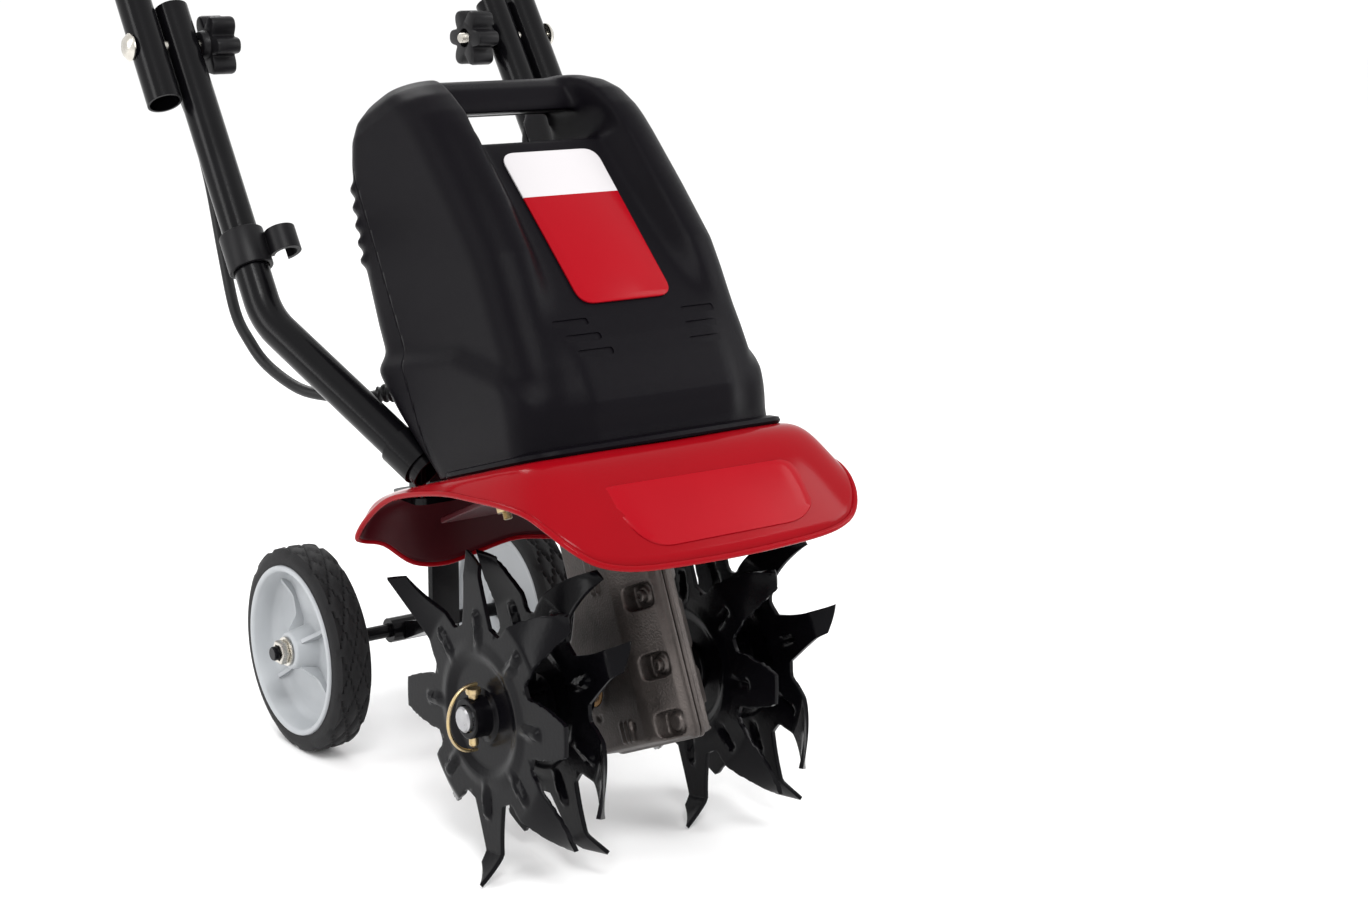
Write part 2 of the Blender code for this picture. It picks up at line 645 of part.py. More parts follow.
def make_wheel_bracket(ground, black_enamel, steel):
    """The axle hangs on a flat bar that slides in a socket behind the machine."""
    add_object("axle", rod("axle", [
        (-0.1140, AXLE_RADIUS - 0.0006), (-0.1132, AXLE_RADIUS), (0.1132, AXLE_RADIUS),
        (0.1140, AXLE_RADIUS - 0.0006),
    ]), ground, steel, (0, AXLE_Y, AXLE_Z))
    bar = [(0.2110, 0.0850), (0.2110, 0.2450), (0.2170, 0.2450), (0.2170, 0.0900), (0.2517, 0.0800),
           (0.2517, 0.0665), (0.2440, 0.0700)]
    bracket = add_object("wheel_bracket", prism("wheel_bracket", bar, -0.0110, 0.0110), ground, black_enamel)
    sleeve = turned("axle_sleeve", [
        (-0.0200, 0.0053), (0.0200, 0.0053), (0.0200, 0.0090), (-0.0200, 0.0090)], 16)
    combine(bracket, cutter(sleeve, ground, (0, AXLE_Y, AXLE_Z)), "UNION")
    combine(bracket, cutter(block("height_slot", (-0.0036, 0.2, 0.1700), (0.0036, 0.23, 0.2300)), ground))


def make_rear_frame(ground, black_enamel, zinc):
    """The socket of the wheel bar on its arm, and the bracket that holds the two lower tubes."""
    outline = [(-0.0160, 0.2040), (0.0160, 0.2040), (0.0160, 0.2240), (-0.0160, 0.2240)]
    shell = prism("bracket_socket", outline, 0.1820, 0.2230, "Z")
    socket = add_object("bracket_socket", shell, ground, black_enamel)
    combine(socket, cutter(block("bar_way", (-0.0115, 0.2105, 0.15), (0.0115, 0.2175, 0.30)), ground))
    arm = [(0.0950, 0.2150), (0.0950, 0.2190), (0.2050, 0.2190), (0.2050, 0.2150)]
    combine(socket, cutter(prism("socket_arm", arm, -0.0150, 0.0150), ground), "UNION")
    combine(socket, cutter(rod("pin_way", [(0.19, 0.0033), (0.24, 0.0033)], 10, "Y"), ground, (0, 0, 0.2000)))
    pin = rod("height_pin", [(0.1960, 0.0030), (0.2242, 0.0030), (0.2243, 0.0075), (0.2300, 0.0075)], 12, "Y")
    add_object("height_pin", pin, ground, zinc, (0, 0, 0.2000))
    plate = block("handle_bracket", (-0.0960, 0.0945, 0.2105), (0.0960, 0.1350, 0.2147))
    bracket = add_object("handle_bracket", plate, ground, black_enamel)
    for side in (-1, 1):
        start, corner = lower_tube_line(side)
        along = corner - start
        sleeve_route = [start + along * 0.06, start + along * 0.24]
        sleeve = swept_tube("tube_sleeve", sleeve_route, HANDLE_TUBE_RADIUS + 0.0030)
        combine(bracket, cutter(sleeve, ground), "UNION")
        web_x = side * 0.0850
        web = block("sleeve_web", (web_x - 0.003, 0.0960, 0.2120), (web_x + 0.003, 0.1250, 0.2420))
        combine(bracket, cutter(web, ground), "UNION")
    for side in (-1, 1):
        start, corner = lower_tube_line(side)
        room = swept_tube("tube_room", [start + (start - corner), start, corner], HANDLE_TUBE_RADIUS + 2 * GAP)
        combine(bracket, cutter(room, ground))


# Handles

def lower_tube_line(side):
    """The two ends of a lower tube's first straight run."""
    return Vector((side * 0.0840, 0.0900, 0.2330)), Vector((side * LOWER_TUBE_X, 0.2155, 0.3195))


def make_handles(ground, fold, black_enamel, black_plastic, zinc):
    bolt_hole = rod("bolt_hole", [(-0.2, BOLT_RADIUS + GAP), (0.2, BOLT_RADIUS + GAP)], 12)
    through = cutter(bolt_hole, ground, (0, FOLD_Y, FOLD_Z))
    for word, side in (("left", -1), ("right", 1)):
        start, corner = lower_tube_line(side)
        route = filleted([start, corner, along_handle(0.0300, side * LOWER_TUBE_X)], LOWER_BEND_RADIUS, 4)
        pipe = swept_pipe(f"lower_handle_{word}", route, HANDLE_TUBE_RADIUS, TUBE_WALL)
        lower = add_object(f"lower_handle_{word}", pipe, ground, black_enamel)
        combine(lower, through)
        frame = empty(f"fold_bolt_frame_{word}", ground, (0, FOLD_Y, FOLD_Z))
        add_object(f"fold_bolt_{word}", rod(f"fold_bolt_{word}", [
            (side * 0.0930, BOLT_RADIUS), (side * 0.1699, BOLT_RADIUS), (side * 0.1700, 0.0075),
            (side * 0.1750, 0.0075),
        ], 12), frame, zinc)
        lobes = 36
        outline = []
        for i in range(lobes):
            angle = 2 * math.pi * i / lobes
            radius = 0.0185 + 0.0045 * math.cos(6 * angle)
            outline.append((radius * math.cos(angle), radius * math.sin(angle)))
        low, high = sorted((side * 0.0970, side * 0.1150))
        knob = add_object(f"knob_{word}", prism(f"knob_{word}", outline, low, high), frame, black_plastic)
        collar = cutter(rod("knob_collar", [(side * 0.1100, 0.0100), (side * 0.1196, 0.0090)], 20), frame)
        combine(knob, collar, "UNION")
        bore = rod("knob_bore", [(-0.2, BOLT_RADIUS + GAP), (0.2, BOLT_RADIUS + GAP)], 12)
        combine(knob, cutter(bore, frame))
    left, right = -UPPER_TUBE_X, UPPER_TUBE_X
    route = filleted([along_handle(-0.0450, left), along_handle(CROSSBAR_RISE, left),
                      along_handle(CROSSBAR_RISE, right), along_handle(-0.0450, right)], TOP_BEND_RADIUS, 6)
    pipe = swept_pipe("upper_handle", route, HANDLE_TUBE_RADIUS, TUBE_WALL)
    upper = add_object("upper_handle", pipe, fold, black_enamel)
    combine(upper, through)


def make_cord_clip(ground, black_plastic):
    """A band round the left lower tube with an open hook beside it."""
    frame = empty("clip_frame", ground, along_handle(-0.1620, -LOWER_TUBE_X), HANDLE_SLOPE - math.pi / 2)
    clip = add_object("cord_clip", turned("cord_clip", [
        (-0.0135, HANDLE_TUBE_RADIUS + GAP), (-0.0135, 0.0150), (0.0135, 0.0150),
        (0.0135, HANDLE_TUBE_RADIUS + GAP),
    ], 20, "Z"), frame, black_plastic)
    steps = 10
    outer, inner = [], []
    for i in range(steps + 1):
        angle = math.radians(-200 + 260 * i / steps)
        outer.append((0.0108 * math.cos(angle), 0.0108 * math.sin(angle)))
        inner.append((0.0078 * math.cos(angle), 0.0078 * math.sin(angle)))
    hook = prism("clip_hook", outer + inner[::-1], -0.0090, 0.0090, "Z")
    combine(clip, cutter(hook, frame, (0.0225, -0.0110, 0)), "UNION")


def make_controls(grip, foam, black_plastic):
    """Two foam grips, and the switch box in halves with its trigger, lock-out button and inlet."""
    for word, side in (("left", -1), ("right", 1)):
        start, end = side * 0.0480, side * 0.0880
        add_object(f"grip_{word}", turned(f"grip_{word}", [
            (start, HANDLE_TUBE_RADIUS + GAP), (end, HANDLE_TUBE_RADIUS + GAP), (end, 0.0165),
            (start, 0.0165),
        ], 20), grip, foam)
    bare_radius = HANDLE_TUBE_RADIUS + GAP
    tube_way = cutter(rod("crossbar_way", [(-0.06, bare_radius), (0.06, bare_radius)], 20), grip)
    low, high = (-BOX_HALF_WIDTH, -0.0210, -0.0600), (BOX_HALF_WIDTH, -GAP / 2, 0.0190)
    front = rounded_box("switch_box_front", low, high, 0.0060, grip, black_plastic, 2)
    low, high = (-BOX_HALF_WIDTH, GAP / 2, -0.0600), (BOX_HALF_WIDTH, 0.0250, 0.0190)
    rear = rounded_box("switch_box_rear", low, high, 0.0060, grip, black_plastic, 2)
    room = block("switch_room", (-0.0420, -0.0175, -0.0560), (0.0420, 0.0120, -0.0165))
    for half in (front, rear):
        combine(half, tube_way)
        combine(half, cutter(room, grip))
        lead_way = rod("lead_way", [(-0.06, LEAD_RADIUS + GAP), (-0.03, LEAD_RADIUS + GAP)], 12)
        combine(half, cutter(lead_way, grip, (0, 0, -0.0400)))
        inlet_way = rod("inlet_way", [(-0.07, INLET_WAY_RADIUS), (-0.04, INLET_WAY_RADIUS)], 20, "Z")
        combine(half, cutter(inlet_way, grip, (INLET_X, INLET_Y, 0)))
    button_way = rod("button_way", [(-0.03, 0.0066), (-0.01, 0.0066)], 16, "Y")
    combine(front, cutter(button_way, grip, (-0.0250, 0, -0.0300)))
    combine(rear, cutter(block("trigger_way", (-0.0305, 0.0150, -0.0450), (0.0305, 0.0300, 0.0080)), grip))

    button = rod("lockout_button", [(-0.0255, 0.0050), (-0.0245, 0.0060), (-0.0110, 0.0060)], 16, "Y")
    add_object("lockout_button", button, grip, black_plastic, (-0.0250, 0, -0.0300))
    profile = [(0.0245, -0.0420), (0.0290, -0.0380), (0.0320, -0.0100), (0.0300, 0.0060), (0.0255, 0.0060),
               (0.0255, -0.0100), (0.0235, -0.0400)]
    frame = empty("trigger_frame", grip, (0, 0.0245, -0.0410))
    shape = [(y - 0.0245, z + 0.0410) for y, z in profile]
    add_object("trigger", prism("trigger", shape, -0.0295, 0.0295), frame, black_plastic)
    inlet_place = (INLET_X, INLET_Y, 0)
    inlet_body = rod("power_inlet", [
        (-0.0820, 0.0125), (-0.0602, 0.0125), (-0.0601, 0.0115), (-0.0520, 0.0115)], 24, "Z")
    inlet = add_object("power_inlet", inlet_body, grip, black_plastic, inlet_place)
    mouth = rod("inlet_mouth", [(-0.0900, 0.0100), (-0.0620, 0.0100)], 24, "Z")
    combine(inlet, cutter(mouth, grip, inlet_place))
    for x in (-0.0040, 0.0040):
        blade = block("inlet_blade", (x - 0.0008, -0.0032, -0.0790), (x + 0.0008, 0.0032, -0.0600))
        combine(inlet, cutter(blade, grip, inlet_place), "UNION")


def make_motor_lead(ground, black_plastic, rubber):
    """The lead leaves the rear cowl, hangs behind the left tube and climbs to the switch box."""
    climb = -UPPER_TUBE_X + HANDLE_TUBE_RADIUS + LEAD_RADIUS + 0.0010
    knots = [
        (-0.0700, 0.1200, 0.2745), (-0.0708, 0.1350, 0.2748), (-0.0760, 0.1480, 0.2745),
        (-0.0880, 0.1640, 0.2695), (-0.1000, 0.1896, 0.2680), (-0.1100, 0.2150, 0.2700),
        (-0.1160, 0.2490, 0.2810), (-0.1190, 0.2700, 0.2955), (-0.1180, 0.2930, 0.3130),
        (-0.1130, 0.3200, 0.3500), (-0.1110, 0.3430, 0.4000), (-0.1130, 0.3620, 0.4400),
        (-0.1200, 0.3870, 0.4850), (-0.1320, 0.4150, 0.5450), along_handle(0.1500, climb),
        along_handle(0.2600, climb), along_handle(0.3700, climb), along_handle(0.4600, climb),
        along_handle(0.5050, -0.1320), along_handle(0.5400, -0.1000), along_handle(0.5500, -0.0700),
        along_handle(0.5500, -0.0465),
    ]
    route = smooth_route(knots, 0.0150)
    tube_curve("motor_lead", route, LEAD_RADIUS, ground, rubber)
    grommet = turned("lead_grommet", [
        (0.0, 0.0052), (0.0, 0.0105), (0.0030, 0.0105), (0.0130, 0.0070), (0.0130, 0.0052)], 16, "Y")
    add_object("lead_grommet", grommet, ground, black_plastic, LEAD_EXIT)


def main():
    clear_scene()
    black_enamel = material("black_enamel", (0.012, 0.012, 0.014), 0.25)
    red_enamel = material("red_enamel", (0.45, 0.010, 0.018), 0.2)
    black_plastic = material("black_plastic", (0.017, 0.015, 0.018), 0.45)
    grey_plastic = material("grey_plastic", (0.34, 0.35, 0.36), 0.5)
    rubber = material("rubber", (0.02, 0.02, 0.022), 0.8)
    cast_metal = material("cast_metal", (0.22, 0.20, 0.19), 0.5, 0.8)
    steel = material("steel", (0.5, 0.5, 0.5), 0.35, 1.0)
    zinc = material("yellow_zinc", (0.62, 0.50, 0.24), 0.35, 1.0)
    bronze = material("bronze", (0.60, 0.38, 0.16), 0.4, 1.0)
    foam = material("foam", (0.02, 0.02, 0.02), 0.9)
    label_print = material("label_print", (0.55, 0.03, 0.05), 0.4)

    ground = empty("ground_frame", None, (0, SHAFT_Y, 0))
    body = empty("body_frame", ground, (0, 0, SHAFT_Z), -LEAN)
    shaft_frame = empty("shaft_frame", ground, (0, 0, SHAFT_Z))
    fold = empty("fold_frame", ground)
    grip = empty("grip_frame", fold, along_handle(CROSSBAR_RISE, 0), HANDLE_SLOPE - math.pi / 2)

    make_tines(shaft_frame, black_enamel)
    make_tine_shaft(shaft_frame, steel, black_enamel, zinc)
    make_click_rings(shaft_frame, zinc)
    make_worm_drive(body, shaft_frame, bronze, steel, black_plastic)
    make_gear_case(body, cast_metal, steel, bronze)
    make_motor(body, steel, zinc)
    make_housing(body, black_plastic, label_print)
    make_shield(body, red_enamel, zinc)
    make_wheels(ground, grey_plastic, rubber, zinc)
    make_wheel_bracket(ground, black_enamel, steel)
    make_rear_frame(ground, black_enamel, zinc)
    make_handles(ground, fold, black_enamel, black_plastic, zinc)
    make_cord_clip(ground, black_plastic)
    make_controls(grip, foam, black_plastic)
    make_motor_lead(ground, black_plastic, rubber)


main()
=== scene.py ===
"""The looks of the small corded tiller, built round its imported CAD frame. Metres, +Z up."""
import math
import random

import bmesh
import bpy
import numpy as np
from mathutils import Matrix, Vector


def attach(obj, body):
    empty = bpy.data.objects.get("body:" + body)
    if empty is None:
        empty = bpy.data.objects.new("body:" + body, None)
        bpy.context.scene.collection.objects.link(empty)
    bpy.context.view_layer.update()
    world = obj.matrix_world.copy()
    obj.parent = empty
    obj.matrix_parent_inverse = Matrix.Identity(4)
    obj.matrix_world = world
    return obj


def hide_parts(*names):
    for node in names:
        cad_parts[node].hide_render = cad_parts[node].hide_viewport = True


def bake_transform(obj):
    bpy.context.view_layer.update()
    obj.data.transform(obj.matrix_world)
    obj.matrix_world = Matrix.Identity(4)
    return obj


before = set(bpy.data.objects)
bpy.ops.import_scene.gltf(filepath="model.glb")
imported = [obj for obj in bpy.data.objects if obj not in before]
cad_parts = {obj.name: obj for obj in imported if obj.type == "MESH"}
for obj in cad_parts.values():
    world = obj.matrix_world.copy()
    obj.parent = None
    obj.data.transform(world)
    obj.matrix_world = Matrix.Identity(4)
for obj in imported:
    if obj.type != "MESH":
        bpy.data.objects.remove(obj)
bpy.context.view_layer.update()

# The CAD's driving dimensions
SHAFT_Y = -0.2900
SHAFT_Z = 0.1010
LEAN = math.radians(24.07)
TINE_RADIUS = 0.1010
STUB_RADIUS = 0.0915
NOTCH_RADIUS = 0.0560
OUTER_TINE_X = 0.0986
INNER_TINE_X = 0.0581
HUB_RADIUS = 0.0130
CLICK_PIN_X = 0.1080
RIM_RADIUS = 0.0608
TYRE_INNER_X = 0.0717
TYRE_WIDTH = 0.0283
TUBE_RADIUS = 0.0120
TUBE_WALL = 0.0015
LOWER_TUBE_X = 0.1320
UPPER_TUBE_X = 0.1575
HANDLE_SLOPE = math.radians(55.7)
FOLD_Y = 0.3351
FOLD_Z = 0.4950
CROSSBAR_RISE = 0.5900
LEAD_RADIUS = 0.0040
AXLE_Y = 0.2591
AXLE_Z = 0.0728
SIDES = (("left", -1), ("right", 1))

MACHINE = Matrix.Translation((0, SHAFT_Y, 0))
BODY = Matrix.Translation((0, SHAFT_Y, SHAFT_Z)) @ Matrix.Rotation(-LEAN, 4, "X")
SHAFT = Matrix.Translation((0, SHAFT_Y, SHAFT_Z))
FOLD = Matrix.Translation((0, SHAFT_Y + FOLD_Y, FOLD_Z))


def along_handle(distance, x):
    """A machine-frame point on the handles' straight run, measured up the slope from the fold bolt."""
    return (x, FOLD_Y + distance * math.cos(HANDLE_SLOPE), FOLD_Z + distance * math.sin(HANDLE_SLOPE))


def on_handle(distance, x):
    """The frame at that point of the handles, with Z up the slope."""
    lean = Matrix.Rotation(HANDLE_SLOPE - math.pi / 2, 4, "X")
    return MACHINE @ Matrix.Translation(along_handle(distance, x)) @ lean


# Camera, floor and light

CAMERA_PLACE = (-0.7810, -1.3841, 0.5623)
CAMERA_DEGREES = (80.015, 0.05, -35.325)
CAMERA_SENSOR_MM = 36.0
CAMERA_LENS_MM = 58.09
CAMERA_SHIFT = (0.0539, -0.0837)
FLOOR_REACH = 9.0
FLOOR_PALE = 0.97
WORLD_STRENGTH = 1.05
LAMPS = (
    # name, place, aim, size, power
    ("key", (-0.9, -1.9, 2.4), (0, -0.2, 0.25), (1.0, 0.8), 45),
    ("fill", (1.9, -1.3, 1.3), (0, -0.2, 0.25), (0.8, 1.4), 18),
    ("back", (0.3, 2.0, 2.2), (0, -0.1, 0.4), (1.6, 0.8), 24),
    ("side", (-2.2, 0.2, 1.2), (0, -0.2, 0.3), (0.5, 1.6), 14),
)


def make_stage():
    camera = bpy.data.objects.new("camera", bpy.data.cameras.new("camera"))
    camera.location = CAMERA_PLACE
    camera.rotation_euler = [math.radians(turn) for turn in CAMERA_DEGREES]
    camera.data.sensor_width = CAMERA_SENSOR_MM
    camera.data.lens = CAMERA_LENS_MM
    camera.data.shift_x, camera.data.shift_y = CAMERA_SHIFT
    bpy.context.scene.collection.objects.link(camera)
    bpy.context.scene.camera = camera

    mesh = bpy.data.meshes.new("floor")
    corners = [(x * FLOOR_REACH, y * FLOOR_REACH, 0) for x, y in ((-1, -1), (1, -1), (1, 1), (-1, 1))]
    mesh.from_pydata(corners, [], [(0, 1, 2, 3)])
    floor = bpy.data.objects.new("floor", mesh)
    bpy.context.scene.collection.objects.link(floor)
    pale = bpy.data.materials.new("floor_paint")
    pale.use_nodes = True
    set_inputs(pale.node_tree, pale.node_tree.nodes["Principled BSDF"], {
        "Base Color": (FLOOR_PALE, FLOOR_PALE, FLOOR_PALE, 1), "Roughness": 0.75, "Specular IOR Level": 0.15})
    mesh.materials.append(pale)

    world = bpy.data.worlds.new("studio")
    world.use_nodes = True
    background = world.node_tree.nodes["Background"]
    set_inputs(world.node_tree, background, {"Color": (1, 1, 1, 1), "Strength": WORLD_STRENGTH})
    bpy.context.scene.world = world
    bpy.context.scene.view_settings.view_transform = "Standard"
    for name, place, aim, size, power in LAMPS:
        data = bpy.data.lights.new(name, "AREA")
        data.shape = "RECTANGLE"
        data.size, data.size_y = size
        data.energy = power
        lamp = bpy.data.objects.new(name, data)
        lamp.location = place
        lamp.rotation_euler = (Vector(aim) - Vector(place)).to_track_quat("-Z", "Y").to_euler()
        bpy.context.scene.collection.objects.link(lamp)


# Materials

BUMP_DISTANCE = 0.0006
COAT_ROUGHNESS = 0.08
LABEL_BAND = 0.0230
PAPER_DARK = (0.53, 0.51, 0.52, 1)
PAPER_PALE = (0.57, 0.55, 0.56, 1)


def set_inputs(tree, node, inputs):
    """Sets each input to its constant, or links it where a socket is given."""
    for key, value in inputs.items():
        if isinstance(value, bpy.types.NodeSocket):
            tree.links.new(value, node.inputs[key])
        else:
            node.inputs[key].default_value = value


def add_node(tree, kind, inputs, **settings):
    node = tree.nodes.new("ShaderNode" + kind)
    for name, value in settings.items():
        setattr(node, name, value)
    set_inputs(tree, node, inputs)
    return node


def finish(name, slot, colour, other, roughness, metallic=0.0, grain=900.0, bump=0.05, patch=30.0,
           rough_swing=0.10, coat=0.0, specular=0.5):
    """A procedural finish: two close colours in soft patches, roughness that varies, and a fine grain."""
    made = bpy.data.materials.new(name)
    made.use_nodes = True
    tree = made.node_tree
    place = add_node(tree, "TexCoord", {}).outputs["Object"]
    clouds = add_node(tree, "TexNoise", {"Scale": patch, "Detail": 5.0, "Vector": place}).outputs["Fac"]
    ramp = add_node(tree, "ValToRGB", {"Fac": clouds})
    for stop, position, tint in zip(ramp.color_ramp.elements, (0.25, 0.75), (other, colour)):
        stop.position = position
        stop.color = (*tint, 1)
    swing = add_node(tree, "MapRange", {"Value": clouds, "To Min": max(0.02, roughness - rough_swing),
                                        "To Max": roughness + rough_swing})
    fine = add_node(tree, "TexNoise", {"Scale": grain, "Detail": 3.0, "Vector": place})
    relief = add_node(tree, "Bump", {"Strength": bump, "Distance": BUMP_DISTANCE,
                                     "Height": fine.outputs["Fac"]})
    set_inputs(tree, tree.nodes["Principled BSDF"], {
        "Base Color": ramp.outputs["Color"], "Roughness": swing.outputs["Result"],
        "Normal": relief.outputs["Normal"], "Metallic": metallic, "Specular IOR Level": specular,
        "Coat Weight": coat, "Coat Roughness": COAT_ROUGHNESS})
    made["slot"] = slot
    return made


def make_finishes():
    made = {
        "housing": finish("housing_plastic", "black_plastic", (0.0036, 0.0029, 0.0044),
                          (0.0028, 0.0023, 0.0035), 0.34, grain=2600, bump=0.25, patch=18,
                          rough_swing=0.04, specular=0.050),
        "plastic": finish("black_plastic", "black_plastic", (0.0070, 0.0066, 0.0076), (0.0050, 0.0048, 0.0056),
                          0.36, grain=1900, bump=0.20, patch=40, rough_swing=0.07, specular=0.15),
        "enamel": finish("black_enamel", "black_enamel", (0.0028, 0.0026, 0.0033), (0.0020, 0.0019, 0.0024),
                         0.22, grain=500, bump=0.07, patch=26, rough_swing=0.06, specular=0.13, coat=0.03),
        "tine": finish("tine_enamel", "black_enamel", (0.0026, 0.0024, 0.0033), (0.0018, 0.0017, 0.0024),
                       0.22, grain=420, bump=0.12, patch=34, rough_swing=0.08, specular=0.085, coat=0.01),
        "red": finish("red_enamel", "red_enamel", (0.250, 0.0018, 0.0058), (0.222, 0.0015, 0.0048),
                      0.15, grain=380, bump=0.03, patch=14, rough_swing=0.04, specular=0.06, coat=0.035),
        "inset": finish("red_inset", "red_enamel", (0.300, 0.0028, 0.0082), (0.272, 0.0024, 0.0072),
                        0.20, grain=420, bump=0.03, patch=14, rough_swing=0.04, specular=0.06, coat=0.035),
        # The shield's red paint darkened to maroon: painted shade for the shield's underside
        "under": finish("red_painted_shade", "red_enamel", (0.060, 0.0034, 0.0066), (0.040, 0.0028, 0.0052),
                        0.30, grain=420, bump=0.08, patch=22, rough_swing=0.06, specular=0.20),
        "cast": finish("cast_metal", "cast_metal", (0.100, 0.086, 0.080), (0.058, 0.050, 0.047),
                       0.42, metallic=0.75, grain=750, bump=0.55, patch=60, rough_swing=0.10),
        "steel": finish("steel", "steel", (0.42, 0.42, 0.43), (0.30, 0.30, 0.31),
                        0.30, metallic=0.95, grain=1400, bump=0.15, patch=120, rough_swing=0.10),
        "zinc": finish("yellow_zinc", "yellow_zinc", (0.56, 0.43, 0.21), (0.38, 0.30, 0.20),
                       0.30, metallic=0.95, grain=1400, bump=0.15, patch=240, rough_swing=0.10),
        "bright": finish("bright_zinc", "yellow_zinc", (0.62, 0.60, 0.55), (0.50, 0.47, 0.42),
                         0.26, metallic=0.95, grain=1400, bump=0.12, patch=240, rough_swing=0.08),
        "bronze": finish("bronze", "bronze", (0.46, 0.27, 0.11), (0.36, 0.20, 0.08),
                         0.34, metallic=0.9, grain=1200, bump=0.10, patch=90),
        "grey": finish("grey_plastic", "grey_plastic", (0.40, 0.415, 0.43), (0.35, 0.365, 0.38),
                       0.42, grain=1700, bump=0.15, patch=30, rough_swing=0.06, specular=0.35),
        "rubber": finish("rubber", "rubber", (0.0075, 0.0071, 0.0079), (0.0052, 0.0050, 0.0056),
                         0.58, grain=1500, bump=0.45, patch=55, rough_swing=0.10, specular=0.18),
        "foam": finish("foam", "foam", (0.017, 0.017, 0.018), (0.010, 0.010, 0.011),
                       0.85, grain=2600, bump=0.80, patch=300, rough_swing=0.08, specular=0.2),
        "cable": finish("cable_jacket", "cable", (0.009, 0.009, 0.010), (0.006, 0.006, 0.007),
                        0.38, grain=1300, bump=0.10, patch=50, specular=0.25),
    }
    made["label"] = label_print(made["inset"])
    return made


def label_print(base):
    """A plain two-colour panel print: an off-white head over red. No lettering and no mark."""
    made = base.copy()
    made.name = "label_print"
    made["slot"] = "label_print"
    tree = made.node_tree
    place = add_node(tree, "Attribute", {}, attribute_name="print_place")
    split = add_node(tree, "SeparateXYZ", {"Vector": place.outputs["Vector"]})
    head = add_node(tree, "Math", {0: split.outputs["Y"], 1: LABEL_BAND}, operation="GREATER_THAN")
    paper = add_node(tree, "Mix", {0: tree.nodes["Noise Texture"].outputs["Fac"], 6: PAPER_DARK, 7: PAPER_PALE},
                     data_type="RGBA")
    both = add_node(tree, "Mix", {0: head.outputs["Value"], 6: tree.nodes["Color Ramp"].outputs["Color"],
                                  7: paper.outputs[2]}, data_type="RGBA")
    set_inputs(tree, tree.nodes["Principled BSDF"], {"Base Color": both.outputs[2]})
    return made


# Mesh helpers

ARC_STEPS = 24
EDGE_BEVEL = 0.0005
AXIS_ORDER = {"X": (1, 2, 0), "Y": (2, 0, 1), "Z": (0, 1, 2)}  # two axes across, then the one along


def piece(name, points, faces, place, body, look, replaces=(), smooth_angle=35.0, close=True):
    """A mesh object whose points are given in the frame `place`, riding on a CAD body."""
    mesh = bpy.data.meshes.new(name)
    mesh.from_pydata([tuple(place @ Vector(p)) for p in points], [], faces)
    if close:
        tidy_mesh(mesh)
    return dress(bpy.data.objects.new(name, mesh), body, look, replaces, smooth_angle)


def tidy_mesh(mesh):
    made = bmesh.new()
    made.from_mesh(mesh)
    bmesh.ops.remove_doubles(made, verts=made.verts, dist=1e-6)
    bmesh.ops.recalc_face_normals(made, faces=made.faces)
    made.to_mesh(mesh)
    made.free()


def dress(obj, body, look, replaces=(), smooth_angle=35.0):
    if obj.name not in bpy.context.scene.collection.objects:
        bpy.context.scene.collection.objects.link(obj)
    obj.data.materials.clear()
    obj.data.materials.append(look)
    shade(obj.data, smooth_angle)
    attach(obj, body)
    if replaces:
        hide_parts(*replaces)
    return obj


def shade(mesh, smooth_angle):
    """Smooth faces, with sharp edges where the surface turns by more than the angle."""
    made = bmesh.new()
    made.from_mesh(mesh)
    limit = math.radians(smooth_angle)
    for face in made.faces:
        face.smooth = True
    for edge in made.edges:
        edge.smooth = not (len(edge.link_faces) == 2 and edge.calc_face_angle(0.0) > limit)
    made.to_mesh(mesh)
    made.free()


def loose(name, points, faces):
    """A helper mesh object that isn't part of the object."""
    mesh = bpy.data.meshes.new(name)
    mesh.from_pydata([tuple(p) for p in points], [], faces)
    tidy_mesh(mesh)
    obj = bpy.data.objects.new(name, mesh)
    bpy.context.scene.collection.objects.link(obj)
    return obj


def apply_modifiers(obj):
    bpy.context.view_layer.update()
    evaluated = obj.evaluated_get(bpy.context.evaluated_depsgraph_get())
    mesh = bpy.data.meshes.new_from_object(evaluated)
    obj.modifiers.clear()
    obj.data = mesh


def boolean(obj, other, operation="DIFFERENCE"):
    """Cuts another object from this one, or adds it, and removes the other."""
    modifier = obj.modifiers.new("cut", "BOOLEAN")
    modifier.operation = operation
    modifier.solver = "EXACT"
    modifier.object = other
    apply_modifiers(obj)
    bpy.data.objects.remove(other)


def remesh(obj, voxel, smoothing):
    modifier = obj.modifiers.new("remesh", "REMESH")
    modifier.mode = "VOXEL"
    modifier.voxel_size = voxel
    soften = obj.modifiers.new("soften", "SMOOTH")
    soften.iterations = smoothing
    apply_modifiers(obj)


def bevelled(obj, width, segments=2, angle=35.0):
    modifier = obj.modifiers.new("bevel", "BEVEL")
    modifier.width = width
    modifier.segments = segments
    modifier.limit_method = "ANGLE"
    modifier.angle_limit = math.radians(angle)
    modifier.use_clamp_overlap = True


def walled(obj, thickness, offset=0.0):
    wall = obj.modifiers.new("wall", "SOLIDIFY")
    wall.thickness = thickness
    wall.offset = offset
    return wall


def band_faces(first, second, count):
    """The faces between two closed rows of points, given the index that each row starts at."""
    return [(first + j, first + (j + 1) % count, second + (j + 1) % count, second + j) for j in range(count)]


def lofted(sections, ring=False, caps=True):
    """Points and faces of a loft through closed sections of the same number of points."""
    count, rows = len(sections[0]), len(sections)
    points = [p for section in sections for p in section]
    faces = []
    for i in range(rows if ring else rows - 1):
        faces += band_faces(i * count, (i + 1) % rows * count, count)
    if caps and not ring:
        faces.append(tuple(range(count))[::-1])
        faces.append(tuple(range((rows - 1) * count, rows * count)))
    return points, faces


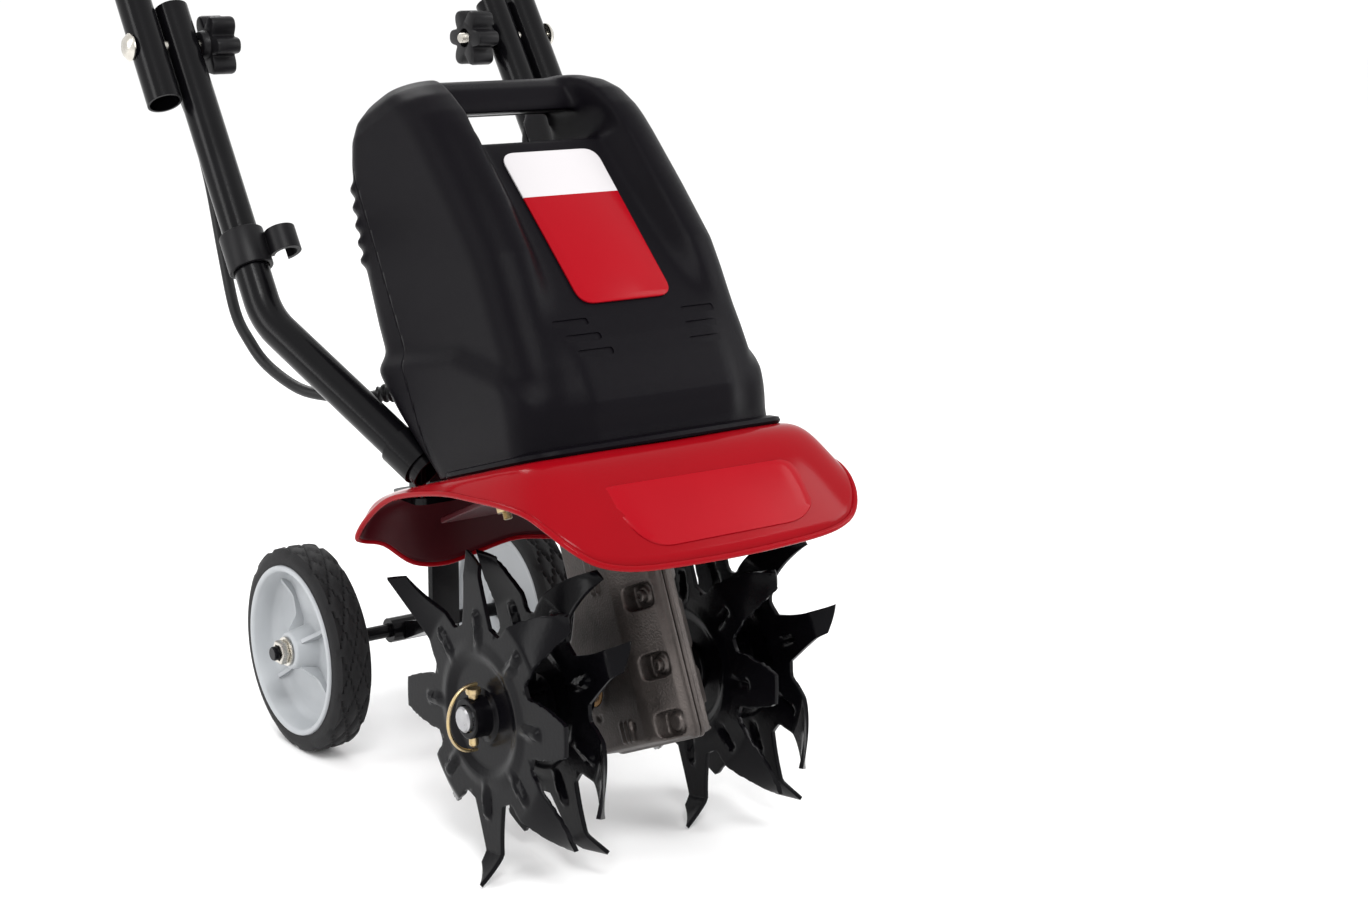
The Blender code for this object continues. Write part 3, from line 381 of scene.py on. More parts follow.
def turned(profile, steps, axis="X"):
    """A closed profile of (along, radius) turned round an axis."""
    sections = []
    for i in range(steps):
        c, s = math.cos(2 * math.pi * i / steps), math.sin(2 * math.pi * i / steps)
        sections.append([{"X": (a, r * c, r * s), "Y": (r * s, a, r * c), "Z": (r * c, r * s, a)}[axis]
                         for a, r in profile])
    return lofted(sections, ring=True)


def sided(side, profile):
    """The profile with its first coordinate mirrored to the left where side is -1."""
    return [(side * a, r) for a, r in profile]


def circle(centre, radius, side, up, count):
    angles = [2 * math.pi * j / count for j in range(count)]
    return [centre + radius * (side * math.cos(angle) + up * math.sin(angle)) for angle in angles]


def rounded(profile, radius, steps=4):
    """The closed profile with each corner replaced by an arc of about this radius."""
    made = []
    count = len(profile)
    for i in range(count):
        before, here, after = (Vector(profile[(i + k) % count]).to_2d() for k in (-1, 0, 1))
        into, out = before - here, after - here
        reach = min(radius, 0.45 * into.length, 0.45 * out.length)
        start, end = here + into.normalized() * reach, here + out.normalized() * reach
        for j in range(steps + 1):
            t = j / steps
            made.append(tuple((1 - t) ** 2 * start + 2 * t * (1 - t) * here + t * t * end))
    return made


def swept(route, radius, sides=20, caps=True):
    """A round tube along a route; radius is a number or a function of the share of the route."""
    route = [Vector(p) for p in route]
    spans = [0.0]
    for a, b in zip(route, route[1:]):
        spans.append(spans[-1] + (b - a).length)
    sections = []
    ahead = (route[1] - route[0]).normalized()
    side = ahead.orthogonal().normalized()
    for i, p in enumerate(route):
        before, after = route[max(i - 1, 0)], route[min(i + 1, len(route) - 1)]
        heading = (after - before).normalized()
        side = (side - heading * side.dot(heading)).normalized()
        up = heading.cross(side)
        r = radius(spans[i] / spans[-1]) if callable(radius) else radius
        sections.append(circle(p, r, side, up, sides))
    return lofted(sections, caps=caps)


def joined(*parts):
    """Several (points, faces) as one."""
    points, faces = [], []
    for more_points, more_faces in parts:
        start = len(points)
        points += [tuple(p) for p in more_points]
        faces += [tuple(start + i for i in face) for face in more_faces]
    return points, faces


def moved(part, matrix):
    return [tuple(matrix @ Vector(p)) for p in part[0]], part[1]


def prism(outline, ends, axis="Z"):
    """An outline carried along an axis, its two coordinates being the next two of X, Y, Z, X, Y."""
    a, b, c = AXIS_ORDER[axis]
    sections = []
    for end in ends:
        section = []
        for u, v in outline:
            p = [0.0, 0.0, 0.0]
            p[a], p[b], p[c] = u, v, end
            section.append(tuple(p))
        sections.append(section)
    return lofted(sections)


def blocky(low, high, radius, axis="Z", steps=4):
    """A box whose four edges along one axis are rounded, as (points, faces)."""
    a, b, c = AXIS_ORDER[axis]
    corners = [(low[a], low[b]), (high[a], low[b]), (high[a], high[b]), (low[a], high[b])]
    return prism(rounded(corners, radius, steps), (low[c], high[c]), axis)


def spline(a, b, c, d, t):
    """The point at a share of the way from b to c on the smooth curve through a, b, c and d."""
    square, cube = 2 * a - 5 * b + 4 * c - d, 3 * b - a - 3 * c + d
    return 0.5 * (2 * b + (c - a) * t + square * t ** 2 + cube * t ** 3)


def smooth_route(knots, spacing):
    """Points at about an even spacing on the smooth curve through the knots."""
    knots = [Vector(knot) for knot in knots]
    ends = [2 * knots[0] - knots[1]] + knots + [2 * knots[-1] - knots[-2]]
    route = [knots[0]]
    for a, b, c, d in zip(ends, ends[1:], ends[2:], ends[3:]):
        steps = max(1, round((c - b).length / spacing))
        route += [spline(a, b, c, d, i / steps) for i in range(1, steps + 1)]
    return route


def filleted(corners, radius):
    """A route through straight runs whose inner corners are turned into arcs."""
    corners = [Vector(corner) for corner in corners]
    route = [corners[0]]
    for before, corner, after in zip(corners, corners[1:], corners[2:]):
        into, out = (before - corner).normalized(), (after - corner).normalized()
        half = into.angle(out) / 2
        reach = radius / math.tan(half)
        centre = corner + (into + out).normalized() * radius / math.sin(half)
        start, end = corner + into * reach - centre, corner + out * reach - centre
        sweep = start.angle(end)
        for i in range(ARC_STEPS + 1):
            t = i / ARC_STEPS
            arm = (start * math.sin((1 - t) * sweep) + end * math.sin(t * sweep)) / math.sin(sweep)
            route.append(centre + arm)
    route.append(corners[-1])
    return route


def profile_at(table, value):
    """The table's columns read at a position, on straight lines between its rows."""
    xs = [row[0] for row in table]
    return [float(np.interp(value, xs, [row[k] for row in table])) for k in range(1, len(table[0]))]


def eased(t):
    """A share that starts and ends softly, kept between 0 and 1."""
    t = min(1.0, max(0.0, t))
    return t * t * (3 - 2 * t)


# The cord

LEAD_CLEARANCE = 0.0010
RELIEF_FIRST = 20
RELIEF_LAST = 80
FLANGE_SHARE = 0.12


def relief_radius(share):
    """A flange, then a taper with five soft ribs."""
    if share < FLANGE_SHARE:
        return 0.0098
    rib = 0.0007 * math.cos(2 * math.pi * (share - FLANGE_SHARE) * 5.5)
    return 0.0078 - 0.0026 * share + rib


def make_lead(looks):
    climb = -UPPER_TUBE_X + TUBE_RADIUS + LEAD_RADIUS + LEAD_CLEARANCE
    knots = [
        (-0.0700, 0.1200, 0.2745), (-0.0708, 0.1350, 0.2748), (-0.0760, 0.1480, 0.2745),
        (-0.0880, 0.1640, 0.2695), (-0.1000, 0.1896, 0.2680), (-0.1100, 0.2150, 0.2700),
        (-0.1160, 0.2490, 0.2810), (-0.1190, 0.2700, 0.2955), (-0.1180, 0.2930, 0.3130),
        (-0.1130, 0.3200, 0.3500), (-0.1110, 0.3430, 0.4000), (-0.1130, 0.3620, 0.4400),
        (-0.1200, 0.3870, 0.4850), (-0.1320, 0.4150, 0.5450), along_handle(0.1500, climb),
        along_handle(0.2600, climb), along_handle(0.3700, climb), along_handle(0.4600, climb),
        along_handle(0.5050, -0.1320), along_handle(0.5400, -0.1000), along_handle(0.5500, -0.0700),
        along_handle(0.5500, -0.0465),
    ]
    route = [MACHINE @ p for p in smooth_route(knots, 0.0050)]
    points, faces = swept(route, LEAD_RADIUS, 16)
    mesh = bpy.data.meshes.new("motor_lead_visual")
    mesh.from_pydata([tuple(p) for p in points], [], faces)
    tidy_mesh(mesh)
    shade(mesh, 60)
    mesh.materials.append(looks["cable"])
    lead = bpy.data.objects.new("motor_lead_visual", mesh)
    bpy.context.scene.collection.objects.link(lead)
    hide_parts("motor_lead")
    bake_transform(lead)

    sleeve = smooth_route(knots[:4], 0.0005)[RELIEF_FIRST:RELIEF_LAST]
    points, faces = swept([MACHINE @ p for p in sleeve], relief_radius, 28)
    piece("lead_relief", points, faces, Matrix.Identity(4), "chassis", looks["cable"], ["lead_grommet"])


# Housing

HOUSING = (
    # height, half width, ridge front, panel front, back, ridge inner end, panel edge
    (0.1220, 0.0890, -0.1085, -0.1150, 0.0060, 0.070, 0.050),
    (0.1440, 0.0895, -0.1110, -0.1185, 0.0110, 0.070, 0.050),
    (0.1540, 0.0898, -0.1140, -0.1225, 0.0160, 0.070, 0.050),
    (0.1600, 0.0898, -0.1155, -0.1240, 0.0190, 0.070, 0.050),
    (0.1680, 0.0898, -0.1165, -0.1238, 0.0230, 0.070, 0.050),
    (0.1850, 0.0898, -0.1165, -0.1215, 0.0310, 0.070, 0.050),
    (0.2000, 0.0896, -0.1150, -0.1180, 0.0390, 0.070, 0.050),
    (0.2140, 0.0894, -0.1130, -0.1135, 0.0460, 0.069, 0.050),
    (0.2260, 0.0892, -0.1120, -0.1089, 0.0520, 0.067, 0.048),
    (0.2400, 0.0890, -0.1110, -0.1032, 0.0555, 0.065, 0.046),
    (0.2600, 0.0888, -0.1085, -0.0950, 0.0570, 0.063, 0.045),
    (0.3010, 0.0880, -0.0950, -0.0782, 0.0580, 0.061, 0.043),
    (0.3360, 0.0876, -0.0820, -0.0638, 0.0545, 0.060, 0.044),
    (0.3440, 0.0875, -0.0790, -0.0600, 0.0530, 0.059, 0.045),
    (0.3500, 0.0874, -0.0765, -0.0440, 0.0520, 0.058, 0.047),
    (0.3560, 0.0873, -0.0740, -0.0370, 0.0505, 0.057, 0.049),
    (0.3650, 0.0870, -0.0695, -0.0360, 0.0485, 0.056, 0.050),
    (0.3800, 0.0860, -0.0590, -0.0365, 0.0430, 0.056, 0.049),
    (0.3900, 0.0835, -0.0480, -0.0345, 0.0360, 0.054, 0.046),
    (0.3970, 0.0775, -0.0370, -0.0290, 0.0270, 0.052, 0.044),
    (0.4015, 0.0670, -0.0240, -0.0200, 0.0150, 0.048, 0.040),
)
STEP_LINE = ((-0.1200, 0.1680), (-0.0960, 0.1940), (-0.0500, 0.2200), (0.0340, 0.2405), (0.0600, 0.2455))
STEP_RISE = 0.0120
STEP_OUT = 0.0058
GAP_LOW = 0.3475
GAP_HIGH = 0.3740
GAP_HALF_WIDTH = 0.0540
BAR_BACK_Y = -0.0030
LOUVRES = 5
LOUVRE_FOOT = 0.2985
LOUVRE_PITCH = 0.0118
SEAM_FOOT = 0.0010
SEAM_SLOPE = 0.1350
HOUSING_CORNER = 0.0230
HOUSING_HEIGHTS = 150
HOUSING_VOXEL = 0.0020
COWL_WALL = 0.0022
COWL_LIFT = 0.0022
SLOT_TOP = 0.2115
SLOT_PITCH = 0.0104
SLOT_LENGTH = 0.0255
SLOT_HALF_HEIGHT = 0.0024
SLOT_DEPTH = 0.0009


def panel_front(z):
    return profile_at(HOUSING, z)[2]


def housing_section(z):
    half, ridge, panel, back, ridge_end, panel_edge = profile_at(HOUSING, z)
    corner = min(HOUSING_CORNER, (back - ridge) * 0.45)
    left = []
    for i in range(9):
        angle = math.radians(90 + 90 * i / 8)
        left.append((-half + corner + corner * math.cos(angle), back - corner + corner * math.sin(angle)))
    for i in range(1, 24):
        left.append((-half, back - corner + (ridge + 2 * corner - back) * i / 24))
    for i in range(9):
        angle = math.radians(180 + 90 * i / 8)
        left.append((-half + corner + corner * math.cos(angle), ridge + corner + corner * math.sin(angle)))
    for i in range(1, 10):
        t = i / 9
        x = -ridge_end + (ridge_end - panel_edge) * t
        left.append((x, ridge + (panel - ridge) * eased(t)))
    for i in range(1, 6):
        left.append((-panel_edge * (1 - i / 6), panel))
    left = [step_out(x, y, z, half) for x, y in left]
    right = [(-x, y) for x, y in reversed(left)]
    return [(x, y, z) for x, y in left + [(0.0, panel)] + right]


def step_out(x, y, z, half):
    """Below a line that falls to the front, the wall stands out from the one above it."""
    line = profile_at(STEP_LINE, y)[0]
    out = STEP_OUT * eased((line - z) / STEP_RISE)
    side = eased((abs(x) - 0.0550) / (half - 0.0550))
    rear = eased(y / 0.0300)
    return x - out * side, y + 1.1 * out * rear


def seam_plane(offset):
    """A point and the backward normal of the join between the front and the rear cowl."""
    normal = Vector((0, 1, -SEAM_SLOPE)).normalized()
    return Vector((0, SEAM_FOOT - 0.138 * SEAM_SLOPE, 0)) + normal * offset, normal


def louvre_at(z):
    """One louvre: a ring round the back of the housing that tapers into its sides."""
    sections = []
    for rise, stand in ((0.0, -0.0010), (0.0050, 0.0026), (0.0076, 0.0030), (0.0090, -0.0010)):
        whole = housing_section(z + rise)
        half, _, _, back, _, _ = profile_at(HOUSING, z + rise)
        section = []
        for x, y, _ in whole[-14:] + whole[:14]:
            out = -0.0010 + (stand + 0.0010) * eased((y - (back - 0.0280)) / 0.0160)
            section.append((x * (1 + out / half), y + out * (y - 0.02) / (back - 0.02), z + rise))
        sections.append(section)
    return lofted(sections)


def slots():
    """Two sets of three shallow slots, sheared to follow the panel's slope."""
    made = []
    for side in (-1, 1):
        for i in range(3):
            z = SLOT_TOP - SLOT_PITCH * i
            inner = 0.0350 - (0.0045 if side < 0 else 0.0016) * i
            low, high = sorted((side * inner, side * (inner + SLOT_LENGTH)))
            rise = panel_front(z + SLOT_HALF_HEIGHT) - panel_front(z - SLOT_HALF_HEIGHT)
            slope = rise / (2 * SLOT_HALF_HEIGHT)
            slot = blocky((low, -0.02, -SLOT_HALF_HEIGHT), (high, SLOT_DEPTH, SLOT_HALF_HEIGHT), 0.0023, "Y")
            lean = Matrix(((1, 0, 0, 0), (0, 1, slope, panel_front(z)), (0, 0, 1, z), (0, 0, 0, 1)))
            made.append(moved(slot, lean))
    return joined(*made)


def housing_block():
    """The whole housing as one solid, with its louvres, the gap of the carrying bar and the slots."""
    heights = np.unique(np.concatenate([[row[0] for row in HOUSING],
                                        np.linspace(HOUSING[0][0], HOUSING[-1][0], HOUSING_HEIGHTS)]))
    block = loose("housing_block", *lofted([housing_section(float(z)) for z in heights]))
    for i in range(LOUVRES):
        boolean(block, loose("louvre", *louvre_at(LOUVRE_FOOT + LOUVRE_PITCH * i)), "UNION")
    wide = GAP_HALF_WIDTH
    gap = rounded([(-wide, GAP_LOW), (wide, GAP_LOW), (wide, GAP_HIGH), (-wide, GAP_HIGH)], 0.0110, 5)
    boolean(block, loose("gap", *prism([(z, x) for x, z in gap], (-0.20, 0.20), "Y")))
    behind = rounded([(-wide, BAR_BACK_Y), (wide, BAR_BACK_Y), (wide, 0.2), (-wide, 0.2)], 0.0110, 5)
    boolean(block, loose("behind_bar", *prism([(x * 1.02, y) for x, y in behind], (GAP_LOW, 0.50))))
    under = rounded([(-0.0500, 0.3680), (-0.0030, 0.3680), (-0.0030, 0.3830)], 0.0020, 3)
    boolean(block, loose("under_bar", *prism(under, (-wide + 0.002, wide - 0.002), "X")))
    remesh(block, HOUSING_VOXEL, 6)
    boolean(block, loose("slots", *slots()))
    return block


def make_housing(looks):
    block = housing_block()
    halves = (("front_cowl_visual", "front_cowl", -0.0002, 1), ("rear_cowl_visual", "rear_cowl", 0.0005, -1))
    for name, node, offset, keep_side in halves:
        mesh = block.data.copy()
        made = bmesh.new()
        made.from_mesh(mesh)
        point, normal = seam_plane(offset)
        foot = Vector((0, SHIELD_FRONT_Y, shield_top(SHIELD_FRONT_Y) + COWL_LIFT))
        down = Vector((0, SHIELD_SLOPE, -1)).normalized()
        for at, outward in ((point, normal * keep_side), (foot, down)):
            geometry = made.verts[:] + made.edges[:] + made.faces[:]
            bmesh.ops.bisect_plane(made, geom=geometry, plane_co=at, plane_no=outward, clear_outer=True,
                                   dist=1e-7)
        bmesh.ops.transform(made, matrix=BODY, verts=made.verts)
        made.to_mesh(mesh)
        made.free()
        obj = bpy.data.objects.new(name, mesh)
        dress(obj, "chassis", looks["housing"], [node], 50)
        walled(obj, COWL_WALL, -1.0)
    bpy.data.objects.remove(block)

    flange = []
    half, ridge, panel, _, _, _ = profile_at(HOUSING, 0.1350)
    steps = ((0.0010, 0.0010), (0.0010, 0.0070), (0.0026, 0.0080), (0.0050, 0.0076), (0.0068, 0.0040))
    for rise, stand in steps:
        loop = rounded([(-half - stand, SEAM_FOOT), (-half - stand, ridge - stand), (0, panel - stand - 0.001),
                        (half + stand, ridge - stand), (half + stand, SEAM_FOOT)], 0.0240, 8)
        flange.append([(x, y, shield_top(y) + rise) for x, y in loop])
    piece("cowl_foot", *lofted(flange), BODY, "chassis", looks["housing"])


def make_label(looks):
    """The printed panel between the pillars, a thin plate with rounded corners."""
    middle_z = 0.2800
    slope = (panel_front(0.3300) - panel_front(0.2350)) / 0.0950
    lean = Matrix.Rotation(math.pi / 2 - math.atan(slope), 4, "X")
    place = BODY @ Matrix.Translation((0, panel_front(middle_z) - 0.0004, middle_z)) @ lean
    corners = [(-0.0345, -0.0620), (0.0345, -0.0620), (0.0365, 0.0600), (-0.0365, 0.0600)]
    outline = rounded(corners, 0.0110, 8)
    count = len(outline)
    points = [(x, y, z) for z in (0.0, 0.0009) for x, y in outline]
    points += [(x * 0.985, y * 0.992, 0.0012) for x, y in outline]
    faces = [tuple(range(count))[::-1], tuple(range(2 * count, 3 * count))]
    for i in range(2):
        faces += band_faces(i * count, (i + 1) * count, count)
    obj = piece("cowl_label_visual", points, faces, place, "chassis", looks["label"], ["cowl_label"], 40,
                close=False)
    attribute = obj.data.attributes.new("print_place", "FLOAT_VECTOR", "POINT")
    inverse = place.inverted()
    for i, vertex in enumerate(obj.data.vertices):
        attribute.data[i].vector = inverse @ vertex.co


# Shield

SHIELD_HALF = (
    # rim x, y, z, then shoulder x, y, from the middle of the back to the middle of the front
    (0.0000, 0.0800, 0.1120, 0.0000, 0.0600),
    (0.0300, 0.0805, 0.1080, 0.0300, 0.0600),
    (0.0560, 0.0805, 0.1040, 0.0560, 0.0595),
    (0.0800, 0.0805, 0.1080, 0.0740, 0.0580),
    (0.0980, 0.0805, 0.1230, 0.0860, 0.0550),
    (0.1130, 0.0800, 0.1275, 0.0950, 0.0500),
    (0.1195, 0.0740, 0.1300, 0.0990, 0.0420),
    (0.1205, 0.0560, 0.1370, 0.1010, 0.0330),
    (0.1205, 0.0280, 0.1425, 0.1010, 0.0180),
    (0.1200, 0.0000, 0.1410, 0.1000, -0.0050),
    (0.1195, -0.0426, 0.1325, 0.0995, -0.0400),
    (0.1185, -0.0753, 0.1215, 0.0970, -0.0680),
    (0.1175, -0.1020, 0.1115, 0.0930, -0.0850),
    (0.1160, -0.1230, 0.1015, 0.0870, -0.0960),
    (0.1130, -0.1360, 0.0900, 0.0810, -0.1010),
    (0.1070, -0.1450, 0.0770, 0.0740, -0.1040),
    (0.0970, -0.1510, 0.0655, 0.0650, -0.1060),
    (0.0830, -0.1545, 0.0590, 0.0530, -0.1070),
    (0.0630, -0.1560, 0.0556, 0.0400, -0.1075),
    (0.0300, -0.1565, 0.0540, 0.0200, -0.1080),
    (0.0000, -0.1565, 0.0535, 0.0000, -0.1080),
)
SHIELD_WALL = 0.0016
# The painted-shade sheet inside the shield: its thickness, and how far in from the shield it sits
SHADE_SHEET_WALL = 0.0003
SHADE_SHEET_DEPTH = 0.0012
BEAD_RADIUS = 0.0018
INSET_Z = 0.0870
INSET_STAND = 0.0019
SHIELD_FRONT_Y = -0.1250
SHIELD_FRONT_Z = 0.1300
SHIELD_SLOPE = 0.1200


def shield_top(y):
    """The height of the shield's flat top, which rises to the back."""
    return SHIELD_FRONT_Z + (y - SHIELD_FRONT_Y) * SHIELD_SLOPE


def shield_loop():
    """Smooth (rim, shoulder) points all the way round, five to each row of the table."""
    half = [(Vector(row[:3]), Vector((row[3], row[4], shield_top(row[4])))) for row in SHIELD_HALF]
    mirrored = [(Vector((-r.x, r.y, r.z)), Vector((-s.x, s.y, s.z))) for r, s in half[-2:0:-1]]
    whole = half + mirrored
    loop = []
    for i in range(len(whole)):
        a, b, c, d = (whole[(i + k) % len(whole)] for k in (-1, 0, 1, 2))
        for step in range(5):
            loop.append(tuple(spline(a[k], b[k], c[k], d[k], step / 5) for k in (0, 1)))
    return loop


def wall_share(t):
    """How far out and how far down the pressed wall is, at a share of its length."""
    out = 3 * (1 - t) ** 2 * t * 0.62 + 3 * (1 - t) * t ** 2 * 0.64 + t ** 3
    down = 3 * (1 - t) * t ** 2 * 0.26 + t ** 3
    return out, down


def shield_sheet(loop):
    """Points and faces of the pressed sheet: the wall from shoulder to rim, then the top closed inwards."""
    total, steps, inner = len(loop), 22, 8
    points, faces = [], []
    for i in range(steps + 1):
        out, down = wall_share(i / steps)
        for rim, shoulder in loop:
            points.append((shoulder.x + (rim.x - shoulder.x) * out, shoulder.y + (rim.y - shoulder.y) * out,
                           shoulder.z + (rim.z - shoulder.z) * down))
    for i in range(steps):
        faces += band_faces(i * total, (i + 1) * total, total)
    start = len(points)
    for i in range(1, inner):
        share = i / inner
        for _, shoulder in loop:
            y = shoulder.y + (-0.0200 - shoulder.y) * share * 0.8
            points.append((shoulder.x * (1 - share * 0.8), y, shield_top(y)))
    for i in range(inner - 1):
        row, last = start + i * total, (start + (i - 1) * total) if i else 0
        faces += [(b, a, d, c) for a, b, c, d in band_faces(last, row, total)]
    faces.append(tuple(start + (inner - 2) * total + j for j in range(total)))
    return points, faces


def make_shield(looks):
    loop = shield_loop()
    sheet = shield_sheet(loop)
    shield = piece("tine_shield_visual", *sheet, BODY, "chassis", looks["red"], ["tine_shield"], 60)
    walled(shield, SHIELD_WALL)

    # Painted shade: a thin dark maroon copy of the sheet, set just inside the shield so that its underside
    # reads darker
    shade_sheet = piece("shield_shade_sheet", *sheet, BODY, "chassis", looks["under"], (), 60)
    normals = [vertex.normal.copy() for vertex in shade_sheet.data.vertices]
    inward = -1 if normals[0].dot(BODY.to_3x3() @ Vector((0, 0, 1))) > 0 else 1
    for vertex, normal in zip(shade_sheet.data.vertices, normals):
        vertex.co += normal * inward * SHADE_SHEET_DEPTH
    walled(shade_sheet, SHADE_SHEET_WALL)

    sections = []
    for i, (p, _) in enumerate(loop):
        heading = (loop[(i + 1) % len(loop)][0] - loop[i - 1][0]).normalized()
        side = (Vector((0, 0, 1)) - heading * heading.z).normalized()
        sections.append(circle(p, BEAD_RADIUS, side, heading.cross(side), 12))
    piece("shield_bead", *lofted(sections, ring=True), BODY, "chassis", looks["red"], (), 60)


def inset_point(x, z, stand, shrink):
    """A point off the shield's front wall, drawn in towards the panel's middle, its ends turned back."""
    x, z = x * shrink, INSET_Z + (z - INSET_Z) * shrink
    front = [wall_share(i / 60) for i in range(61)][::-1]
    rim_x, rim_y, rim_z, _, shoulder_y = SHIELD_HALF[-1]
    rim, shoulder = Vector((rim_x, rim_y, rim_z)), Vector((0, shoulder_y, shield_top(shoulder_y)))
    heights = [shoulder.z + (rim.z - shoulder.z) * down for _, down in front]
    places = [shoulder.y + (rim.y - shoulder.y) * out for out, _ in front]
    curve = 0.9 * max(0.0, abs(x) - 0.060) ** 2 / 0.05
    return x, float(np.interp(z, heights, places)) - stand + curve, z


def make_shield_inset(looks):
    """The raised plain panel on the shield's front."""
    corners = [(-0.0800, 0.1075), (-0.0560, 0.0660), (0.0540, 0.0660), (0.0715, 0.0770), (0.0690, 0.1060)]
    outline = rounded(corners, 0.0150, 8)
    plate = []
    for stand, shrink in ((-0.0006, 1.0), (0.0013, 1.0), (INSET_STAND, 0.985)):
        plate.append([inset_point(x, z, stand, shrink) for x, z in outline])
    count, rows = len(outline), 10
    points, faces = lofted(plate, caps=False)
    faces.append(tuple(range(count))[::-1])
    for r in range(1, rows):
        points += [inset_point(x, z, INSET_STAND, 1 - r / rows) for x, _, z in plate[-1]]
    for r in range(2, rows + 1):
        faces += band_faces(r * count, (r + 1) * count, count)
    faces.append(tuple((rows + 1) * count + j for j in range(count)))
    piece("shield_inset", points, faces, BODY, "chassis", looks["inset"], (), 40)


# Tines

BLADES = {
    # centre shift at the tip, half width at the root, middle and tip, tip slant, crease radius
    "hook": (0.0190, 0.0190, 0.0112, 0.0024, 0.0030, 0.0690),
    "straight": (-0.0020, 0.0160, 0.0102, 0.0080, 0.0085, 0.0860),
    "stub": (0.0015, 0.0180, 0.0158, 0.0100, 0.0020, 0.0700),
    "wide": (0.0080, 0.0185, 0.0142, 0.0040, 0.0070, 0.0680),
}
NOTCH_ROUND = 0.0068
TINE_THICKNESS = 0.0027
RING_WIRE_RADIUS = 0.00115


def blade_half_width(kind, share, radius, pitch):
    """A blade narrows from root to tip, and the notch at each side of its root is round."""
    _, root, middle, tip, _, _ = BLADES[kind]
    swell = 2 * middle - (root + tip) / 2
    width = root * (1 - share) ** 2 + 2 * swell * share * (1 - share) + tip * share ** 2
    deep = min(radius - NOTCH_RADIUS, NOTCH_ROUND)
    notch = math.sqrt(max(0.0, NOTCH_ROUND ** 2 - (NOTCH_ROUND - deep) ** 2))
    return min(width, pitch / 2 * radius - notch)


def make_tine(name, x, blades, first_angle, looks, node):
    """A stamped disc: a raised boss with a dished ring, embossed ribs, and eight blades bent sideways."""
    rings, across, shared = 38, 18, 12
    pitch = 2 * math.pi / len(blades)
    bore = HUB_RADIUS + 0.0002
    points, faces = [], []

    def height(radius, off, bend, crease, way):
        boss = 0.0016 * (1 - eased((radius - 0.0335) / 0.0050))
        channel = -0.0018 * math.exp(-((radius - 0.0400) / 0.0028) ** 2)
        rib = math.exp(-((off - 0.0020) / 0.0028) ** 4)
        rib *= eased((radius - 0.0435) / 0.0035) * (1 - eased((radius - 0.0610) / 0.0050))
        past = max(0.0, radius - crease) / (TINE_RADIUS - crease)
        twist = 0.18 * way * past * (1 if bend > 0 else -1)
        return boss + channel + 0.0028 * rib * (-1 if x < 0 else 1) + bend * past ** 1.15 * (1 + twist)

    for b, (kind, bend, tip) in enumerate(blades):
        centre = first_angle + b * pitch
        shift_at_tip, _, _, _, slant, crease = BLADES[kind]
        rng = random.Random(100 * b + round(1e4 * abs(x)) + (7 if x > 0 else 0))
        teeth = [rng.uniform(0.0, 0.0012) for _ in range(2 * rings + 2)]
        start = len(points)
        for i in range(rings + 1):
            share = max(0.0, (i - shared) / (rings - shared)) ** 1.35
            for j in range(across + 1):
                way = -1 + 2 * j / across
                if i <= shared:
                    radius = bore + (NOTCH_RADIUS - bore) * i / shared
                    half, shift = pitch / 2, 0.0
                else:
                    reach = tip - slant * (1 + way) / 2 * share
                    radius = NOTCH_RADIUS + (reach - NOTCH_RADIUS) * share
                    half = blade_half_width(kind, share, radius, pitch) / radius
                    if abs(way) > 0.99 and share > 0.35 and kind in ("wide", "stub"):
                        half -= teeth[2 * i + (j > 0)] / radius
                    shift = shift_at_tip * share ** 2 / radius
                lift = height(radius, way * half * radius, bend, crease, way)
                angle = centre + shift + way * half
                points.append((lift, radius * math.cos(angle), radius * math.sin(angle)))
        for i in range(rings):
            for j in range(across):
                k = start + i * (across + 1) + j
                faces.append((k, k + 1, k + across + 2, k + across + 1))
    place = SHAFT @ Matrix.Translation((x - 0.0020, 0, 0))
    obj = piece(name, points, faces, place, "tine_drive", looks["tine"], [node], 40)
    walled(obj, TINE_THICKNESS).use_even_offset = False
    bevelled(obj, EDGE_BEVEL, 2, 50)


